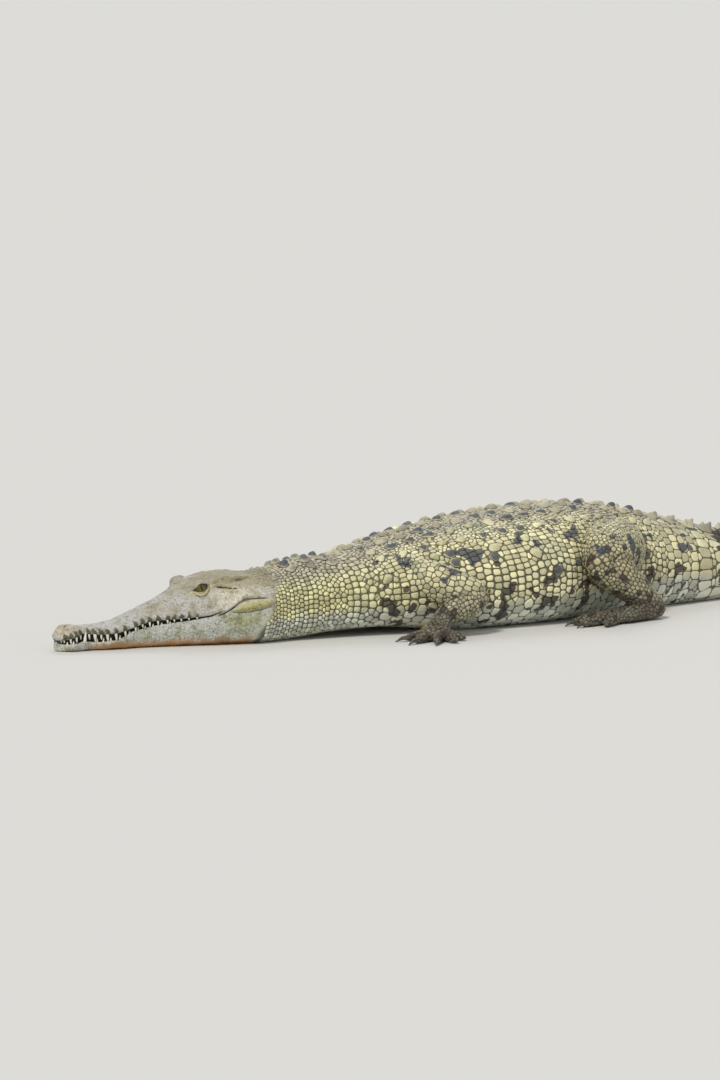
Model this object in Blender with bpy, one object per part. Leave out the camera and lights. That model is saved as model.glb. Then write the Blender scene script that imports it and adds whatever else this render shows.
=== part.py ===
"""A life-size American crocodile lying on its belly, as a still museum model.

Frame: metres, +Z up, head towards -X, tail towards +X, the animal's left side towards -Y. Everything is laid
out along the spine: s is the distance from the snout tip, "side" the distance from the spine towards the
animal's left, and z the height over the floor. The last step moves the model so that the middle of its box
stands on the origin.
"""

import math

import bmesh
import bpy
import numpy as np
from mathutils import Vector

MODEL_NAME = "crocodile"

# ---- driving sizes, metres ----
TOTAL_LENGTH = 2.62  # snout tip to tail tip along the spine
HEAD_END = 0.395  # s of the cut behind the jaw joint
NECK_END = 0.585
TRUNK_END = 1.250
TAIL_CUTS = (1.250, 1.600, 1.950, 2.290, TOTAL_LENGTH)
GAP = 0.0003  # clearance between pieces that touch
HALF_GAP = GAP / 2

HEAD_TURN = math.radians(-10)  # the head looks this far to the animal's right
# (s, heading of the spine from head to tail)
HEADINGS = (
    (0.00, HEAD_TURN),
    (0.40, HEAD_TURN),
    (0.62, 0.0),
    (1.25, 0.0),
    (1.60, math.radians(9)),
    (1.95, math.radians(15)),
    (2.25, math.radians(6)),
    (TOTAL_LENGTH, math.radians(-16)),
)

# ---- the neck, trunk and tail: (s, size) ----
HALF_WIDTH = (
    (0.38, 0.092), (0.43, 0.087), (0.50, 0.091), (0.57, 0.108), (0.63, 0.128), (0.72, 0.152), (0.84, 0.176),
    (0.93, 0.180), (1.01, 0.164), (1.10, 0.138), (1.20, 0.118), (1.30, 0.098), (1.44, 0.079), (1.60, 0.062),
    (1.80, 0.046), (2.00, 0.034), (2.20, 0.024), (2.40, 0.015), (2.55, 0.009), (TOTAL_LENGTH, 0.005),
)
BACK_HEIGHT = (
    (0.38, 0.117), (0.43, 0.126), (0.48, 0.135), (0.53, 0.138), (0.57, 0.142), (0.63, 0.154), (0.69, 0.166),
    (0.78, 0.180), (0.86, 0.191), (0.95, 0.198), (1.05, 0.202), (1.13, 0.198), (1.20, 0.187), (1.28, 0.168),
    (1.36, 0.150), (1.44, 0.130), (1.60, 0.106), (1.80, 0.085), (2.00, 0.067), (2.20, 0.049), (2.40, 0.031),
    (2.55, 0.018), (TOTAL_LENGTH, 0.010),
)
# below zero the belly is pressed flat on the floor
BELLY_HEIGHT = (
    (0.38, -0.006), (0.45, -0.001), (0.52, 0.007), (0.60, 0.010), (0.70, 0.001), (0.78, -0.010),
    (1.10, -0.010),
    (1.22, -0.006), (1.36, -0.006), (1.80, -0.005), (2.40, -0.003), (TOTAL_LENGTH, -0.002),
)
WIDEST_HEIGHT = (
    (0.38, 0.058), (0.55, 0.068), (0.75, 0.076), (1.05, 0.084), (1.25, 0.078), (1.44, 0.062), (1.80, 0.040),
    (2.20, 0.023), (TOTAL_LENGTH, 0.005),
)
BACK_ROUNDNESS = ((0.38, 2.3), (0.60, 2.2), (1.00, 2.15), (1.25, 2.0), (1.60, 1.6), (TOTAL_LENGTH, 1.5))
BELLY_ROUNDNESS = 2.7
# the points of half a ring, as shares of the half width
SHOULDER_SHARE = 0.82
BELLY_SHARES = (0.93, 0.76, 0.50, 0.0)
TAIL_BELLY_SHARES = (0.86, 0.48, 0.0)
NECK_PLAIN_RINGS = (0.411, 0.564)  # s of the rings before and behind the shield
MIN_RING_STEP = 0.004  # a ring nearer than this to a cut face is left out

# ---- the plates that stand on the back and tail ----
NUCHAL_ROWS = 3  # rows of the shield on the nape
NUCHAL_FRONT = 0.428
NUCHAL_REAR = 0.542
TRUNK_ROWS = 16
TAIL_ROWS = 32
CREST_SHARE = 0.72  # where in its row a plate is highest
KEEL_SIDES = (0.15, 0.37, 0.60)  # keels as shares of the half width, inner to outer
KEEL_HEIGHT = ((0.40, 0.006), (0.44, 0.013), (0.52, 0.013), (0.55, 0.003), (0.60, 0.006), (0.70, 0.009),
               (1.20, 0.009), (1.30, 0.012))
CREST_HEIGHT = (
    (1.25, 0.010), (1.36, 0.014), (1.60, 0.028), (1.80, 0.035), (1.98, 0.040), (2.20, 0.034), (2.40, 0.026),
    (2.55, 0.017), (TOTAL_LENGTH, 0.004),
)
# the two crests of the tail close up to one
CREST_SIDE = ((1.25, 0.030), (1.60, 0.022), (1.90, 0.012), (1.98, 0.003), (TOTAL_LENGTH, 0.001))
CREST_JOINS = 1.97
CREST_FOOT = 0.012  # how far beside its edge a crest comes down to the tail
CREST_FOOT_LIMIT = 0.6  # of the half width
CREST_VALLEY = 0.25  # height between the two crests, as a share of theirs
KEEL_VALLEY = 0.2
OUTER_KEEL = 0.6  # height of the outermost keel, as a share of the others

# ---- the head: (s, size) ----
SNOUT_TIP = 0.012
CROWN_HEIGHT = (
    (0.010, 0.034), (0.020, 0.042), (0.033, 0.0465), (0.053, 0.044), (0.082, 0.044), (0.113, 0.048),
    (0.144, 0.056), (0.173, 0.066), (0.206, 0.082), (0.235, 0.093), (0.262, 0.098), (0.290, 0.108),
    (0.320, 0.118), (0.365, 0.120), (HEAD_END, 0.118),
)
RIM_SIDE = (
    (0.010, 0.004), (0.022, 0.014), (0.039, 0.017), (0.068, 0.014), (0.115, 0.019), (0.173, 0.023),
    (0.226, 0.027), (0.262, 0.038), (0.300, 0.043), (0.365, 0.046), (HEAD_END, 0.052),
)
RIM_HEIGHT = (
    (0.010, 0.032), (0.022, 0.039), (0.039, 0.042), (0.068, 0.040), (0.115, 0.044), (0.173, 0.060),
    (0.226, 0.082), (0.248, 0.099), (0.268, 0.113), (0.290, 0.113), (0.320, 0.117), (0.365, 0.117),
    (HEAD_END, 0.108),
)
CHEEK_SIDE = (
    (0.010, 0.006), (0.022, 0.026), (0.037, 0.032), (0.058, 0.025), (0.087, 0.031), (0.115, 0.037),
    (0.154, 0.038), (0.202, 0.046), (0.250, 0.056), (0.300, 0.067), (0.345, 0.080), (0.385, 0.091),
    (HEAD_END, 0.088),
)
CHEEK_HEIGHT = (
    (0.010, 0.028), (0.058, 0.032), (0.115, 0.039), (0.173, 0.052), (0.226, 0.066), (0.270, 0.076),
    (0.320, 0.084), (HEAD_END, 0.088),
)
LIP_SIDE = (
    (0.010, 0.006), (0.016, 0.019), (0.023, 0.028), (0.037, 0.0335), (0.054, 0.0265), (0.077, 0.0330),
    (0.111, 0.0410), (0.130, 0.0420), (0.152, 0.0400), (0.178, 0.0440), (0.211, 0.0520), (0.250, 0.0625),
    (0.300, 0.0770), (0.345, 0.0890), (0.380, 0.0975), (HEAD_END, 0.0930),
)
MOUTH_HEIGHT = (
    (0.010, 0.0170), (0.029, 0.0185), (0.053, 0.0235), (0.082, 0.0215), (0.111, 0.0235), (0.144, 0.0345),
    (0.184, 0.0430), (0.245, 0.0490), (0.275, 0.0530), (0.300, 0.0630), (0.340, 0.0700), (HEAD_END, 0.0740),
)
MOUTH_OPEN = ((0.010, 0.0050), (0.235, 0.0045), (0.280, GAP), (HEAD_END, GAP))
LIP_DEPTH = 0.0050  # how far the teeth stand out from where the jaws close
LIP_ROLL = 0.30  # height of the upper lip's fullest line, as a share of the way up to the cheek
LIP_TUCK = 0.001  # how far the lip's edge turns in
LIP_INSIDE = 0.5  # the least half width inside the lips, as a share of the lip's
BROW_OUT = 0.55  # the line between crown and rim: how far out it lies, as a share of the way
BROW_RISE = 0.35
TEMPLE_OUT = 0.40  # the line between rim and cheek: how far out it lies, as a share of the way
TEMPLE_DROP = 0.45
TEMPLE_BULGE = 0.002
# how far the lower lip lies inside the upper one; at the notch it stands outside it
JAW_INSET = (
    (0.010, 0.0035), (0.039, 0.0035), (0.054, -0.0035), (0.069, 0.0035), (0.230, 0.0040), (0.290, 0.0),
    (HEAD_END, 0.0),
)
JAW_EDGE_SHARE = 0.86  # the lower edge of the jaw, as a share of its lip
JAW_EDGE_BULGE = 0.06
JAW_EDGE_DROP = 0.55
JAW_FLAT_SHARE = 0.62
JAW_TUCK = 0.001  # how far inside the skull's inner lip the jaw's lies
JAW_LEAST = 0.3  # the least half width of the jaw, as a share of the skull's
JAW_EDGE_HEIGHT = ((0.010, 0.0060), (0.058, 0.0075), (0.202, 0.0120), (0.300, 0.0190), (HEAD_END, 0.0250))

EYE_AT = (0.263, 0.0400, 0.0950)  # s, side, z of the eyeball's middle
EYE_RADIUS = 0.0145
EYE_SEGMENTS = (10, 6)

# ---- teeth: s, length and where they grow ----
UPPER_FRONT_TEETH = (0.020, 0.030, 0.040)
LOWER_FRONT_TEETH = (0.025, 0.035)
ROW_FRONT = 0.067
ROW_STEP = 0.0188  # the teeth of the two jaws take turns, half a step apart
UPPER_ROW_COUNT = 11
LOWER_ROW_COUNT = 3  # further back they hide behind the upper lip
TOOTH_SIDES = 4
TOOTH_LENGTH = 0.0085
LOWER_TOOTH_LENGTH = 0.0042  # the lower teeth stand inside the upper lip and show little
LOWER_TOOTH_INSET = -0.0006
BIG_TOOTH = 0.0045  # added at the swelling of the jaw
BIG_TOOTH_AT = 0.117
BIG_TOOTH_SPREAD = 0.030
NOTCH_TOOTH_AT = 0.054
NOTCH_TOOTH_LENGTH = 0.0150
TOOTH_THICKNESS = 0.34  # radius at the gum, as a share of its length
TOOTH_INSET = 0.0022  # of a tooth's middle from its lip
TOOTH_LEAN = 0.10  # how far a tooth's tip leans out, as a share of its length
TOOTH_ROOT = 0.30  # how much more of it stands in the jaw
TOOTH_POINT = 0.08  # radius at the tip, as a share of its length

# ---- limbs: a row of (s, side, z, half width, half height) for each length of limb, left side ----
LIMB_SIDES = 9
UPPER_ARM = (
    (0.652, 0.060, 0.098, 0.036, 0.036), (0.668, 0.104, 0.097, 0.036, 0.037),
    (0.700, 0.148, 0.086, 0.032, 0.034), (0.730, 0.181, 0.070, 0.027, 0.029),
    (0.744, 0.193, 0.062, 0.015, 0.016),
)
FOREARM = (
    (0.736, 0.186, 0.064, 0.020, 0.021), (0.712, 0.187, 0.058, 0.026, 0.026),
    (0.680, 0.184, 0.045, 0.023, 0.022),
    (0.655, 0.181, 0.031, 0.019, 0.016),
)
PALM = (
    (0.671, 0.178, 0.034, 0.014, 0.011), (0.653, 0.185, 0.026, 0.020, 0.015),
    (0.631, 0.197, 0.014, 0.030, 0.014),
    (0.615, 0.207, 0.010, 0.022, 0.010),
)
FINGER_ROOT = (0.638, 0.194)
FINGER_TIPS = ((0.581, 0.182), (0.572, 0.222), (0.593, 0.252), (0.627, 0.261), (0.662, 0.241))
FINGER_RADIUS = 0.0098
THIGH = (
    (1.158, 0.050, 0.112, 0.062, 0.060), (1.120, 0.100, 0.118, 0.062, 0.060),
    (1.075, 0.142, 0.119, 0.056, 0.056),
    (1.034, 0.178, 0.114, 0.046, 0.050), (1.008, 0.198, 0.106, 0.024, 0.029),
)
SHANK = (
    (1.026, 0.184, 0.108, 0.032, 0.034), (1.050, 0.192, 0.088, 0.038, 0.037),
    (1.086, 0.198, 0.060, 0.033, 0.030),
    (1.114, 0.202, 0.040, 0.025, 0.023), (1.134, 0.205, 0.027, 0.020, 0.019),
)
SOLE = (
    (1.148, 0.204, 0.016, 0.012, 0.013), (1.130, 0.204, 0.020, 0.021, 0.020),
    (1.092, 0.203, 0.016, 0.027, 0.017),
    (1.050, 0.202, 0.012, 0.036, 0.013), (1.030, 0.201, 0.009, 0.034, 0.009),
)
TOE_ROOT = (1.066, 0.201)
TOE_TIPS = ((0.986, 0.166), (0.952, 0.192), (0.950, 0.222), (0.980, 0.248))
TOE_RADIUS = 0.0112
DIGIT_SIDES = 5
# rows of (share of the way to the tip, height and thickness as shares of the digit's radius)
DIGIT_SHAPE = ((0.14, 0.86, 0.74), (0.38, 0.90, 1.0), (0.62, 1.0, 1.0), (0.85, 0.72, 0.85), (1.0, 0.5, 0.5))
# rows of (share of the claw's length past the digit, height, thickness)
CLAW_SHAPE = ((-0.35, 0.95, 1.0), (0.25, 1.0, 0.85), (0.65, 0.75, 0.55), (1.0, 0.16, 0.12))
CLAW_HEIGHT = 0.0065
CLAW_DEPTH = 1.1  # height of a claw's section over its width
CLAWED_DIGITS = 3
CLAW_LENGTH = 0.019
CLAW_RADIUS = 0.0046
CLAW_SIDES = 5
# the right limbs lie a little differently
RIGHT_ARM_SHIFT = -0.020
RIGHT_LEG_SHIFT = 0.026
FLAT_ANGLE = math.radians(1.5)  # faces that turn less than this from each other count as one flat face
# names of the nodes that joins leave slivers in
JOINED_PIECES = ("head", "lower_jaw", "hand", "foot", "claw")
LIMB_PIECES = ("upper_arm", "forearm", "hand", "thigh", "shank", "foot")
FLOOR_BLOCK = 3.5  # side of the block that cuts the soles flat
SHARP_ANGLE = math.radians(40)  # edges that turn more than this stay sharp
LAST_TAIL_ROW = 0.9  # its length over the first row's

HIDE = (0.36, 0.36, 0.27, 1.0)
JAW_HIDE = (0.60, 0.58, 0.48, 1.0)
LIMB_HIDE = (0.30, 0.28, 0.23, 1.0)
EYE_COLOUR = (0.42, 0.40, 0.14, 1.0)
CLAW_COLOUR = (0.12, 0.10, 0.08, 1.0)


def through(table):
    """A smooth function through (place, value) pairs that never overshoots them."""
    places, values = np.array(table, dtype=float).T
    steps = np.diff(places)
    slopes = np.diff(values) / steps
    tangents = np.zeros_like(values)
    tangents[0], tangents[-1] = slopes[0], slopes[-1]
    turns = slopes[:-1] * slopes[1:] > 0
    safe = np.where(turns, slopes[:-1] + slopes[1:], 1.0)
    tangents[1:-1] = np.where(turns, 2 * slopes[:-1] * slopes[1:] / safe, 0.0)

    def value(place):
        place = min(max(place, places[0]), places[-1])
        k = min(int(np.searchsorted(places, place, side="right")) - 1, len(steps) - 1)
        t = (place - places[k]) / steps[k]
        rise = values[k + 1] - values[k]
        bend = (tangents[k] + tangents[k + 1]) * steps[k] - 2 * rise
        start = tangents[k] * steps[k]
        return float(values[k] + t * (start + t * (rise - start + (t - 1) * bend)))

    return value


heading = through(HEADINGS)
half_width = through(HALF_WIDTH)
back_height = through(BACK_HEIGHT)
belly_height = through(BELLY_HEIGHT)
widest_height = through(WIDEST_HEIGHT)
back_roundness = through(BACK_ROUNDNESS)
keel_height = through(KEEL_HEIGHT)
crest_height = through(CREST_HEIGHT)
crest_side = through(CREST_SIDE)
crown_height = through(CROWN_HEIGHT)
rim_side = through(RIM_SIDE)
rim_height = through(RIM_HEIGHT)
cheek_side = through(CHEEK_SIDE)
cheek_height = through(CHEEK_HEIGHT)
lip_side = through(LIP_SIDE)
mouth_height = through(MOUTH_HEIGHT)
mouth_open = through(MOUTH_OPEN)
jaw_inset = through(JAW_INSET)
jaw_edge_height = through(JAW_EDGE_HEIGHT)

SPINE_STEP = 0.002


def lay_out_spine():
    """Points of the spine at every SPINE_STEP, found by following its heading."""
    count = int(round(TOTAL_LENGTH / SPINE_STEP)) + 1
    headings = [heading(k * SPINE_STEP) for k in range(count)]
    xs = np.concatenate([[0.0], np.cumsum(np.cos(headings[:-1])) * SPINE_STEP])
    ys = np.concatenate([[0.0], np.cumsum(np.sin(headings[:-1])) * SPINE_STEP])
    return np.arange(count) * SPINE_STEP, xs, ys


SPINE_S, SPINE_X, SPINE_Y = lay_out_spine()


def place(s, side, z):
    """The point at s along the spine, "side" to the animal's left of it and z over the floor."""
    turn = heading(s)
    x = np.interp(s, SPINE_S, SPINE_X) + side * math.sin(turn)
    y = np.interp(s, SPINE_S, SPINE_Y) - side * math.cos(turn)
    return Vector((x, y, z))


def between(first, last, share):
    return first + share * (last - first)


# ---- meshes ----


def new_object(name, bm, collection):
    """An object of the mesh in bm, with its faces turned outwards."""
    bmesh.ops.recalc_face_normals(bm, faces=bm.faces)
    mesh = bpy.data.meshes.new(name)
    bm.to_mesh(mesh)
    bm.free()
    obj = bpy.data.objects.new(name, mesh)
    collection.objects.link(obj)
    return obj


def loft(rings):
    """A closed body through rings that all have the same number of points."""
    bm = bmesh.new()
    loops = [[bm.verts.new(point) for point in ring] for ring in rings]
    for near, far in zip(loops, loops[1:]):
        for k in range(len(near)):
            after = (k + 1) % len(near)
            bm.faces.new((near[k], near[after], far[after], far[k]))
    bm.faces.new(loops[0])
    bm.faces.new(loops[-1])
    # every quad is split along the same diagonal, so that a grown copy stays a constant gap away
    bmesh.ops.triangulate(bm, faces=bm.faces, quad_method="FIXED")
    return bm


def tube(rows, sides, mirror=1, shift=0.0, grow=0.0):
    """A limb through rows of (s, side, z, half width, half height)."""
    middles = [place(s + shift, mirror * side, z) for s, side, z, _, _ in rows]
    middles[0] += grow * (middles[0] - middles[1]).normalized()
    middles[-1] += grow * (middles[-1] - middles[-2]).normalized()
    rings = []
    for k, (row, middle) in enumerate(zip(rows, middles)):
        ahead = middles[min(k + 1, len(rows) - 1)] - middles[max(k - 1, 0)]
        across = ahead.cross(Vector((0, 0, 1))).normalized()
        rise = across.cross(ahead).normalized()
        wide = row[3] + grow
        high = row[4] + grow
        turns = [2 * math.pi * (j + 0.5) / sides for j in range(sides)]
        rings.append([middle + across * wide * math.cos(a) + rise * high * math.sin(a) for a in turns])
    return loft(rings)


def apply_boolean(obj, cutter, operation):
    """Cuts obj by cutter, or joins them, and leaves the result as obj's own mesh."""
    change = obj.modifiers.new(operation.lower(), "BOOLEAN")
    change.operation = operation
    change.solver = "EXACT"
    change.object = cutter
    bpy.context.view_layer.update()
    done = bpy.data.meshes.new_from_object(obj.evaluated_get(bpy.context.evaluated_depsgraph_get()))
    obj.modifiers.clear()
    obj.data = done


def drop(obj):
    bpy.data.objects.remove(obj)


def cut_by(obj, bm, cutters):
    """Takes the body in bm away from obj."""
    cutter = new_object(f"{obj.name}_cutter", bm, cutters)
    apply_boolean(obj, cutter, "DIFFERENCE")
    drop(cutter)


def join_with(obj, bm, cutters):
    """Joins the body in bm to obj."""
    other = new_object(f"{obj.name}_joined", bm, cutters)
    apply_boolean(obj, other, "UNION")
    drop(other)


def merge_flat_faces(obj):
    """Takes out the slivers that joins and cuts leave in flat faces."""
    bm = bmesh.new()
    bm.from_mesh(obj.data)
    bmesh.ops.dissolve_limit(bm, angle_limit=FLAT_ANGLE, verts=bm.verts, edges=bm.edges)
    bmesh.ops.triangulate(bm, faces=bm.faces)
    bm.to_mesh(obj.data)
    bm.free()


def shade(obj, material):
    obj.data.materials.clear()
    obj.data.materials.append(material)
    obj.data.shade_smooth()
    obj.data.set_sharp_from_angle(angle=SHARP_ANGLE)


def material_of(name, colour, roughness):
    material = bpy.data.materials.new(name)
    material.use_nodes = True
    shader = material.node_tree.nodes["Principled BSDF"]
    shader.inputs["Base Color"].default_value = colour
    shader.inputs["Roughness"].default_value = roughness
    shader.inputs["Metallic"].default_value = 0.0
    material.diffuse_color = colour
    return material


# ---- neck, trunk and tail ----


def upper_z(s, share):
    """Height of the back at a share of the half width."""
    power = back_roundness(s)
    low = widest_height(s)
    return low + (back_height(s) - low) * (1 - share**power) ** (1 / power)


def lower_z(s, share):
    """Height of the belly at a share of the half width, never under the floor."""
    high = widest_height(s)
    drop_to = high - belly_height(s)
    return max(0.0, high - drop_to * (1 - share**BELLY_ROUNDNESS) ** (1 / BELLY_ROUNDNESS))


def both_sides(s, half, grow=0.0):
    """The whole ring from its half, which runs from the top middle point to the bottom middle one."""
    middle = widest_height(s)
    half = [(side + grow * (side > 0), z + grow * math.copysign(1, z - middle)) for side, z in half]
    ring = half + [(-side, z) for side, z in reversed(half[1:-1])]
    return [place(s, side, z) for side, z in ring]


def trunk_ring(s, keel, grow=0.0):
    """A ring of the neck or trunk, its keels standing keel high."""
    wide = half_width(s)
    inner, mid, outer = KEEL_SIDES
    shares = (0.0, inner, (inner + mid) / 2, mid, outer, SHOULDER_SHARE, 1.0)
    lifts = (0.0, keel, KEEL_VALLEY * keel, keel, OUTER_KEEL * keel, 0.0, 0.0)
    half = [(wide * share, upper_z(s, share) + lift) for share, lift in zip(shares, lifts)]
    half += [(wide * share, lower_z(s, share)) for share in BELLY_SHARES]
    return both_sides(s, half, grow)


def tail_ring(s, crest):
    """A ring of the tail, its crests standing crest high."""
    wide = half_width(s)
    top = crest_side(s)
    joined = s > CREST_JOINS
    base = min(top + CREST_FOOT, CREST_FOOT_LIMIT * wide) / wide
    half = [(0.0, upper_z(s, 0.0) + (crest if joined else CREST_VALLEY * crest))]
    half.append((top, upper_z(s, top / wide) + crest))
    half += [(wide * share, upper_z(s, share)) for share in (base, 1.0)]
    half += [(wide * share, lower_z(s, share)) for share in TAIL_BELLY_SHARES]
    return both_sides(s, half)


def row_starts(front, rear, count, last_over_first=1.0):
    """Where each row of plates starts, with rows that shrink evenly, and where the last one ends."""
    sizes = np.linspace(1.0, last_over_first, count)
    return front + (rear - front) * np.concatenate([[0.0], np.cumsum(sizes) / sizes.sum()])


def plate_rings(starts, height):
    """(s, how high the plates stand) for two rings in each row: flat in front, high near its rear."""
    rings = []
    for front, rear in zip(starts, starts[1:]):
        crest = front + CREST_SHARE * (rear - front)
        rings.append((front, 0.0))
        rings.append((crest, height(crest)))
    rings.append((starts[-1], 0.0))
    return rings


def cut_lengths(rings, front, rear):
    """The rings between front and rear, with one at each cut face, half a gap inside."""
    first, last = front + HALF_GAP, rear - HALF_GAP
    inside = [ring for ring in rings if first + MIN_RING_STEP < ring[0] < last - MIN_RING_STEP]
    return [(first, 0.0)] + inside + [(last, 0.0)]


def neck_rings():
    nuchal = plate_rings(row_starts(NUCHAL_FRONT, NUCHAL_REAR, NUCHAL_ROWS), keel_height)
    before, behind = NECK_PLAIN_RINGS
    return cut_lengths([(before, 0.0)] + nuchal + [(behind, 0.0)], HEAD_END, NECK_END)


def trunk_rings():
    rows = row_starts(NECK_END, TRUNK_END, TRUNK_ROWS)
    return cut_lengths(plate_rings(rows, keel_height), NECK_END, TRUNK_END)


def tail_rings(front, rear):
    rows = row_starts(TRUNK_END, TOTAL_LENGTH, TAIL_ROWS, LAST_TAIL_ROW)
    return cut_lengths(plate_rings(rows, crest_height), front, rear)


def trunk_body(grow=0.0):
    return loft([trunk_ring(s, keel, grow) for s, keel in trunk_rings()])


# ---- head ----

# both jaws have rings at the same places, so that they meet evenly
JAW_STATIONS = (
    0.018, 0.025, 0.036, 0.045, 0.054, 0.065, 0.078, 0.095, 0.113, 0.130, 0.148, 0.166, 0.190, 0.214,
    0.232, 0.246, 0.257, 0.268, 0.282, 0.300, 0.320, 0.343, 0.366, 0.384, HEAD_END - HALF_GAP,
)


def skull_ring(s):
    """A ring of the skull and upper jaw: crown, rim over the eye, cheek, lip, then the roof of the mouth."""
    crown, rim_x, rim_z = crown_height(s), rim_side(s), rim_height(s)
    cheek_x, cheek_z, lip_x = cheek_side(s), cheek_height(s), lip_side(s)
    closed = mouth_height(s) + HALF_GAP
    lip_z = mouth_height(s) + mouth_open(s) / 2
    half = [
        (0.0, crown),
        (BROW_OUT * rim_x, between(crown, rim_z, BROW_RISE)),
        (rim_x, rim_z),
        (between(rim_x, cheek_x, TEMPLE_OUT) + TEMPLE_BULGE, between(rim_z, cheek_z, TEMPLE_DROP)),
        (cheek_x, cheek_z),
        (lip_x, between(lip_z, cheek_z, LIP_ROLL)),
        (lip_x - LIP_TUCK, lip_z),
        (max(LIP_INSIDE * lip_x, lip_x - LIP_DEPTH), closed),
        (0.0, closed),
    ]
    return both_sides_of_head(s, half)


def jaw_ring(s):
    """A ring of the lower jaw, its underside flat on the floor."""
    lip_x = max(JAW_LEAST * lip_side(s), lip_side(s) - jaw_inset(s))
    closed = mouth_height(s) - HALF_GAP
    lip_z = mouth_height(s) - mouth_open(s) / 2
    edge_z = jaw_edge_height(s)
    half = [
        (0.0, closed),
        (max(LIP_INSIDE * lip_x, lip_side(s) - LIP_DEPTH - JAW_TUCK), closed),
        (lip_x, lip_z),
        (lip_x, between(lip_z, edge_z, JAW_EDGE_DROP)),
        (JAW_EDGE_SHARE * lip_x + JAW_EDGE_BULGE * edge_z, JAW_EDGE_DROP * edge_z),
        (JAW_FLAT_SHARE * lip_x, 0.0),
        (0.0, 0.0),
    ]
    return both_sides_of_head(s, half)


def both_sides_of_head(s, half):
    ring = half + [(-side, z) for side, z in reversed(half[1:-1])]
    return [place(s, side, z) for side, z in ring]


def tooth(s, side, z, length, points_up, mirror, grow):
    """A pointed tooth whose base stands in the jaw."""
    sign = 1 if points_up else -1
    root = place(s, mirror * side, z - sign * (TOOTH_ROOT * length + grow))
    tip = place(s, mirror * (side + TOOTH_LEAN * length), z + sign * (length + grow))
    turn = Vector((0, 0, 1)).rotation_difference(tip - root).to_matrix().to_4x4()
    turn.translation = (root + tip) / 2
    bm = bmesh.new()
    bmesh.ops.create_cone(
        bm,
        cap_ends=True,
        segments=TOOTH_SIDES,
        radius1=TOOTH_THICKNESS * length + grow,
        radius2=TOOTH_POINT * length + grow,
        depth=(tip - root).length,
        matrix=turn,
    )
    return bm


def tooth_places(upper):
    """(s, length) of the teeth of one jaw."""
    if upper:
        row = [ROW_FRONT + ROW_STEP * k for k in range(UPPER_ROW_COUNT)]
        swellings = [math.exp(-(((s - BIG_TOOTH_AT) / BIG_TOOTH_SPREAD) ** 2)) for s in row]
        front = [(s, TOOTH_LENGTH) for s in UPPER_FRONT_TEETH]
        return front + [(s, TOOTH_LENGTH + BIG_TOOTH * swelling) for s, swelling in zip(row, swellings)]
    row = [ROW_FRONT + ROW_STEP * (k + 0.5) for k in range(LOWER_ROW_COUNT)]
    short = [(s, LOWER_TOOTH_LENGTH) for s in list(LOWER_FRONT_TEETH) + row]
    return short + [(NOTCH_TOOTH_AT, NOTCH_TOOTH_LENGTH)]


def teeth(upper, grow=0.0):
    """All the teeth of one jaw, each a body of its own."""
    whole = bmesh.new()
    for s, length in tooth_places(upper):
        lip = lip_side(s) - (TOOTH_INSET if upper else jaw_inset(s) + LOWER_TOOTH_INSET)
        z = mouth_height(s) + (0.5 if upper else -0.5) * mouth_open(s)
        for mirror in (1, -1):
            one = tooth(s, lip, z, length, not upper, mirror, grow)
            mesh = bpy.data.meshes.new("tooth")
            one.to_mesh(mesh)
            one.free()
            whole.from_mesh(mesh)
            bpy.data.meshes.remove(mesh)
    return whole


def eyeball(mirror, grow=0.0):
    s, side, z = EYE_AT
    bm = bmesh.new()
    around, down = EYE_SEGMENTS
    bmesh.ops.create_uvsphere(bm, u_segments=around, v_segments=down, radius=EYE_RADIUS + grow)
    bmesh.ops.translate(bm, vec=place(s, mirror * side, z), verts=bm.verts)
    return bm


def make_head(parts, cutters):
    head = new_object("head", loft([skull_ring(s) for s in (SNOUT_TIP,) + JAW_STATIONS]), parts)
    for name, mirror in (("left", 1), ("right", -1)):
        cut_by(head, eyeball(mirror, grow=GAP), cutters)
        new_object(f"eye_{name}", eyeball(mirror), parts)
    return head


# ---- limbs ----


def digit(root, tip, radius, mirror, shift, grow=0.0):
    """A finger or toe from the middle of the foot to its tip, arched over one knuckle."""
    (root_s, root_side), (tip_s, tip_side) = root, tip
    rows = []
    for share, height, thick in DIGIT_SHAPE:
        s = between(root_s, tip_s, share)
        side = between(root_side, tip_side, share)
        rows.append((s, side, height * radius, thick * radius + grow, thick * radius + grow))
    return tube(rows, DIGIT_SIDES, mirror, shift)


def claw(root, tip, mirror, shift):
    """A claw that carries on from a digit, curving down to the floor."""
    (root_s, root_side), (tip_s, tip_side) = root, tip
    run = math.hypot(tip_s - root_s, tip_side - root_side)
    rows = []
    for along, height, thick in CLAW_SHAPE:
        share = 1 + along * CLAW_LENGTH / run
        s = between(root_s, tip_s, share)
        side = between(root_side, tip_side, share)
        rows.append((s, side, height * CLAW_HEIGHT, thick * CLAW_RADIUS, thick * CLAW_RADIUS * CLAW_DEPTH))
    return tube(rows, CLAW_SIDES, mirror, shift)


def floor_block():
    """A block whose top is the floor."""
    bm = bmesh.new()
    bmesh.ops.create_cube(bm, size=FLOOR_BLOCK)
    bmesh.ops.translate(bm, vec=(TOTAL_LENGTH / 2, 0, -FLOOR_BLOCK / 2), verts=bm.verts)
    return bm


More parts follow.
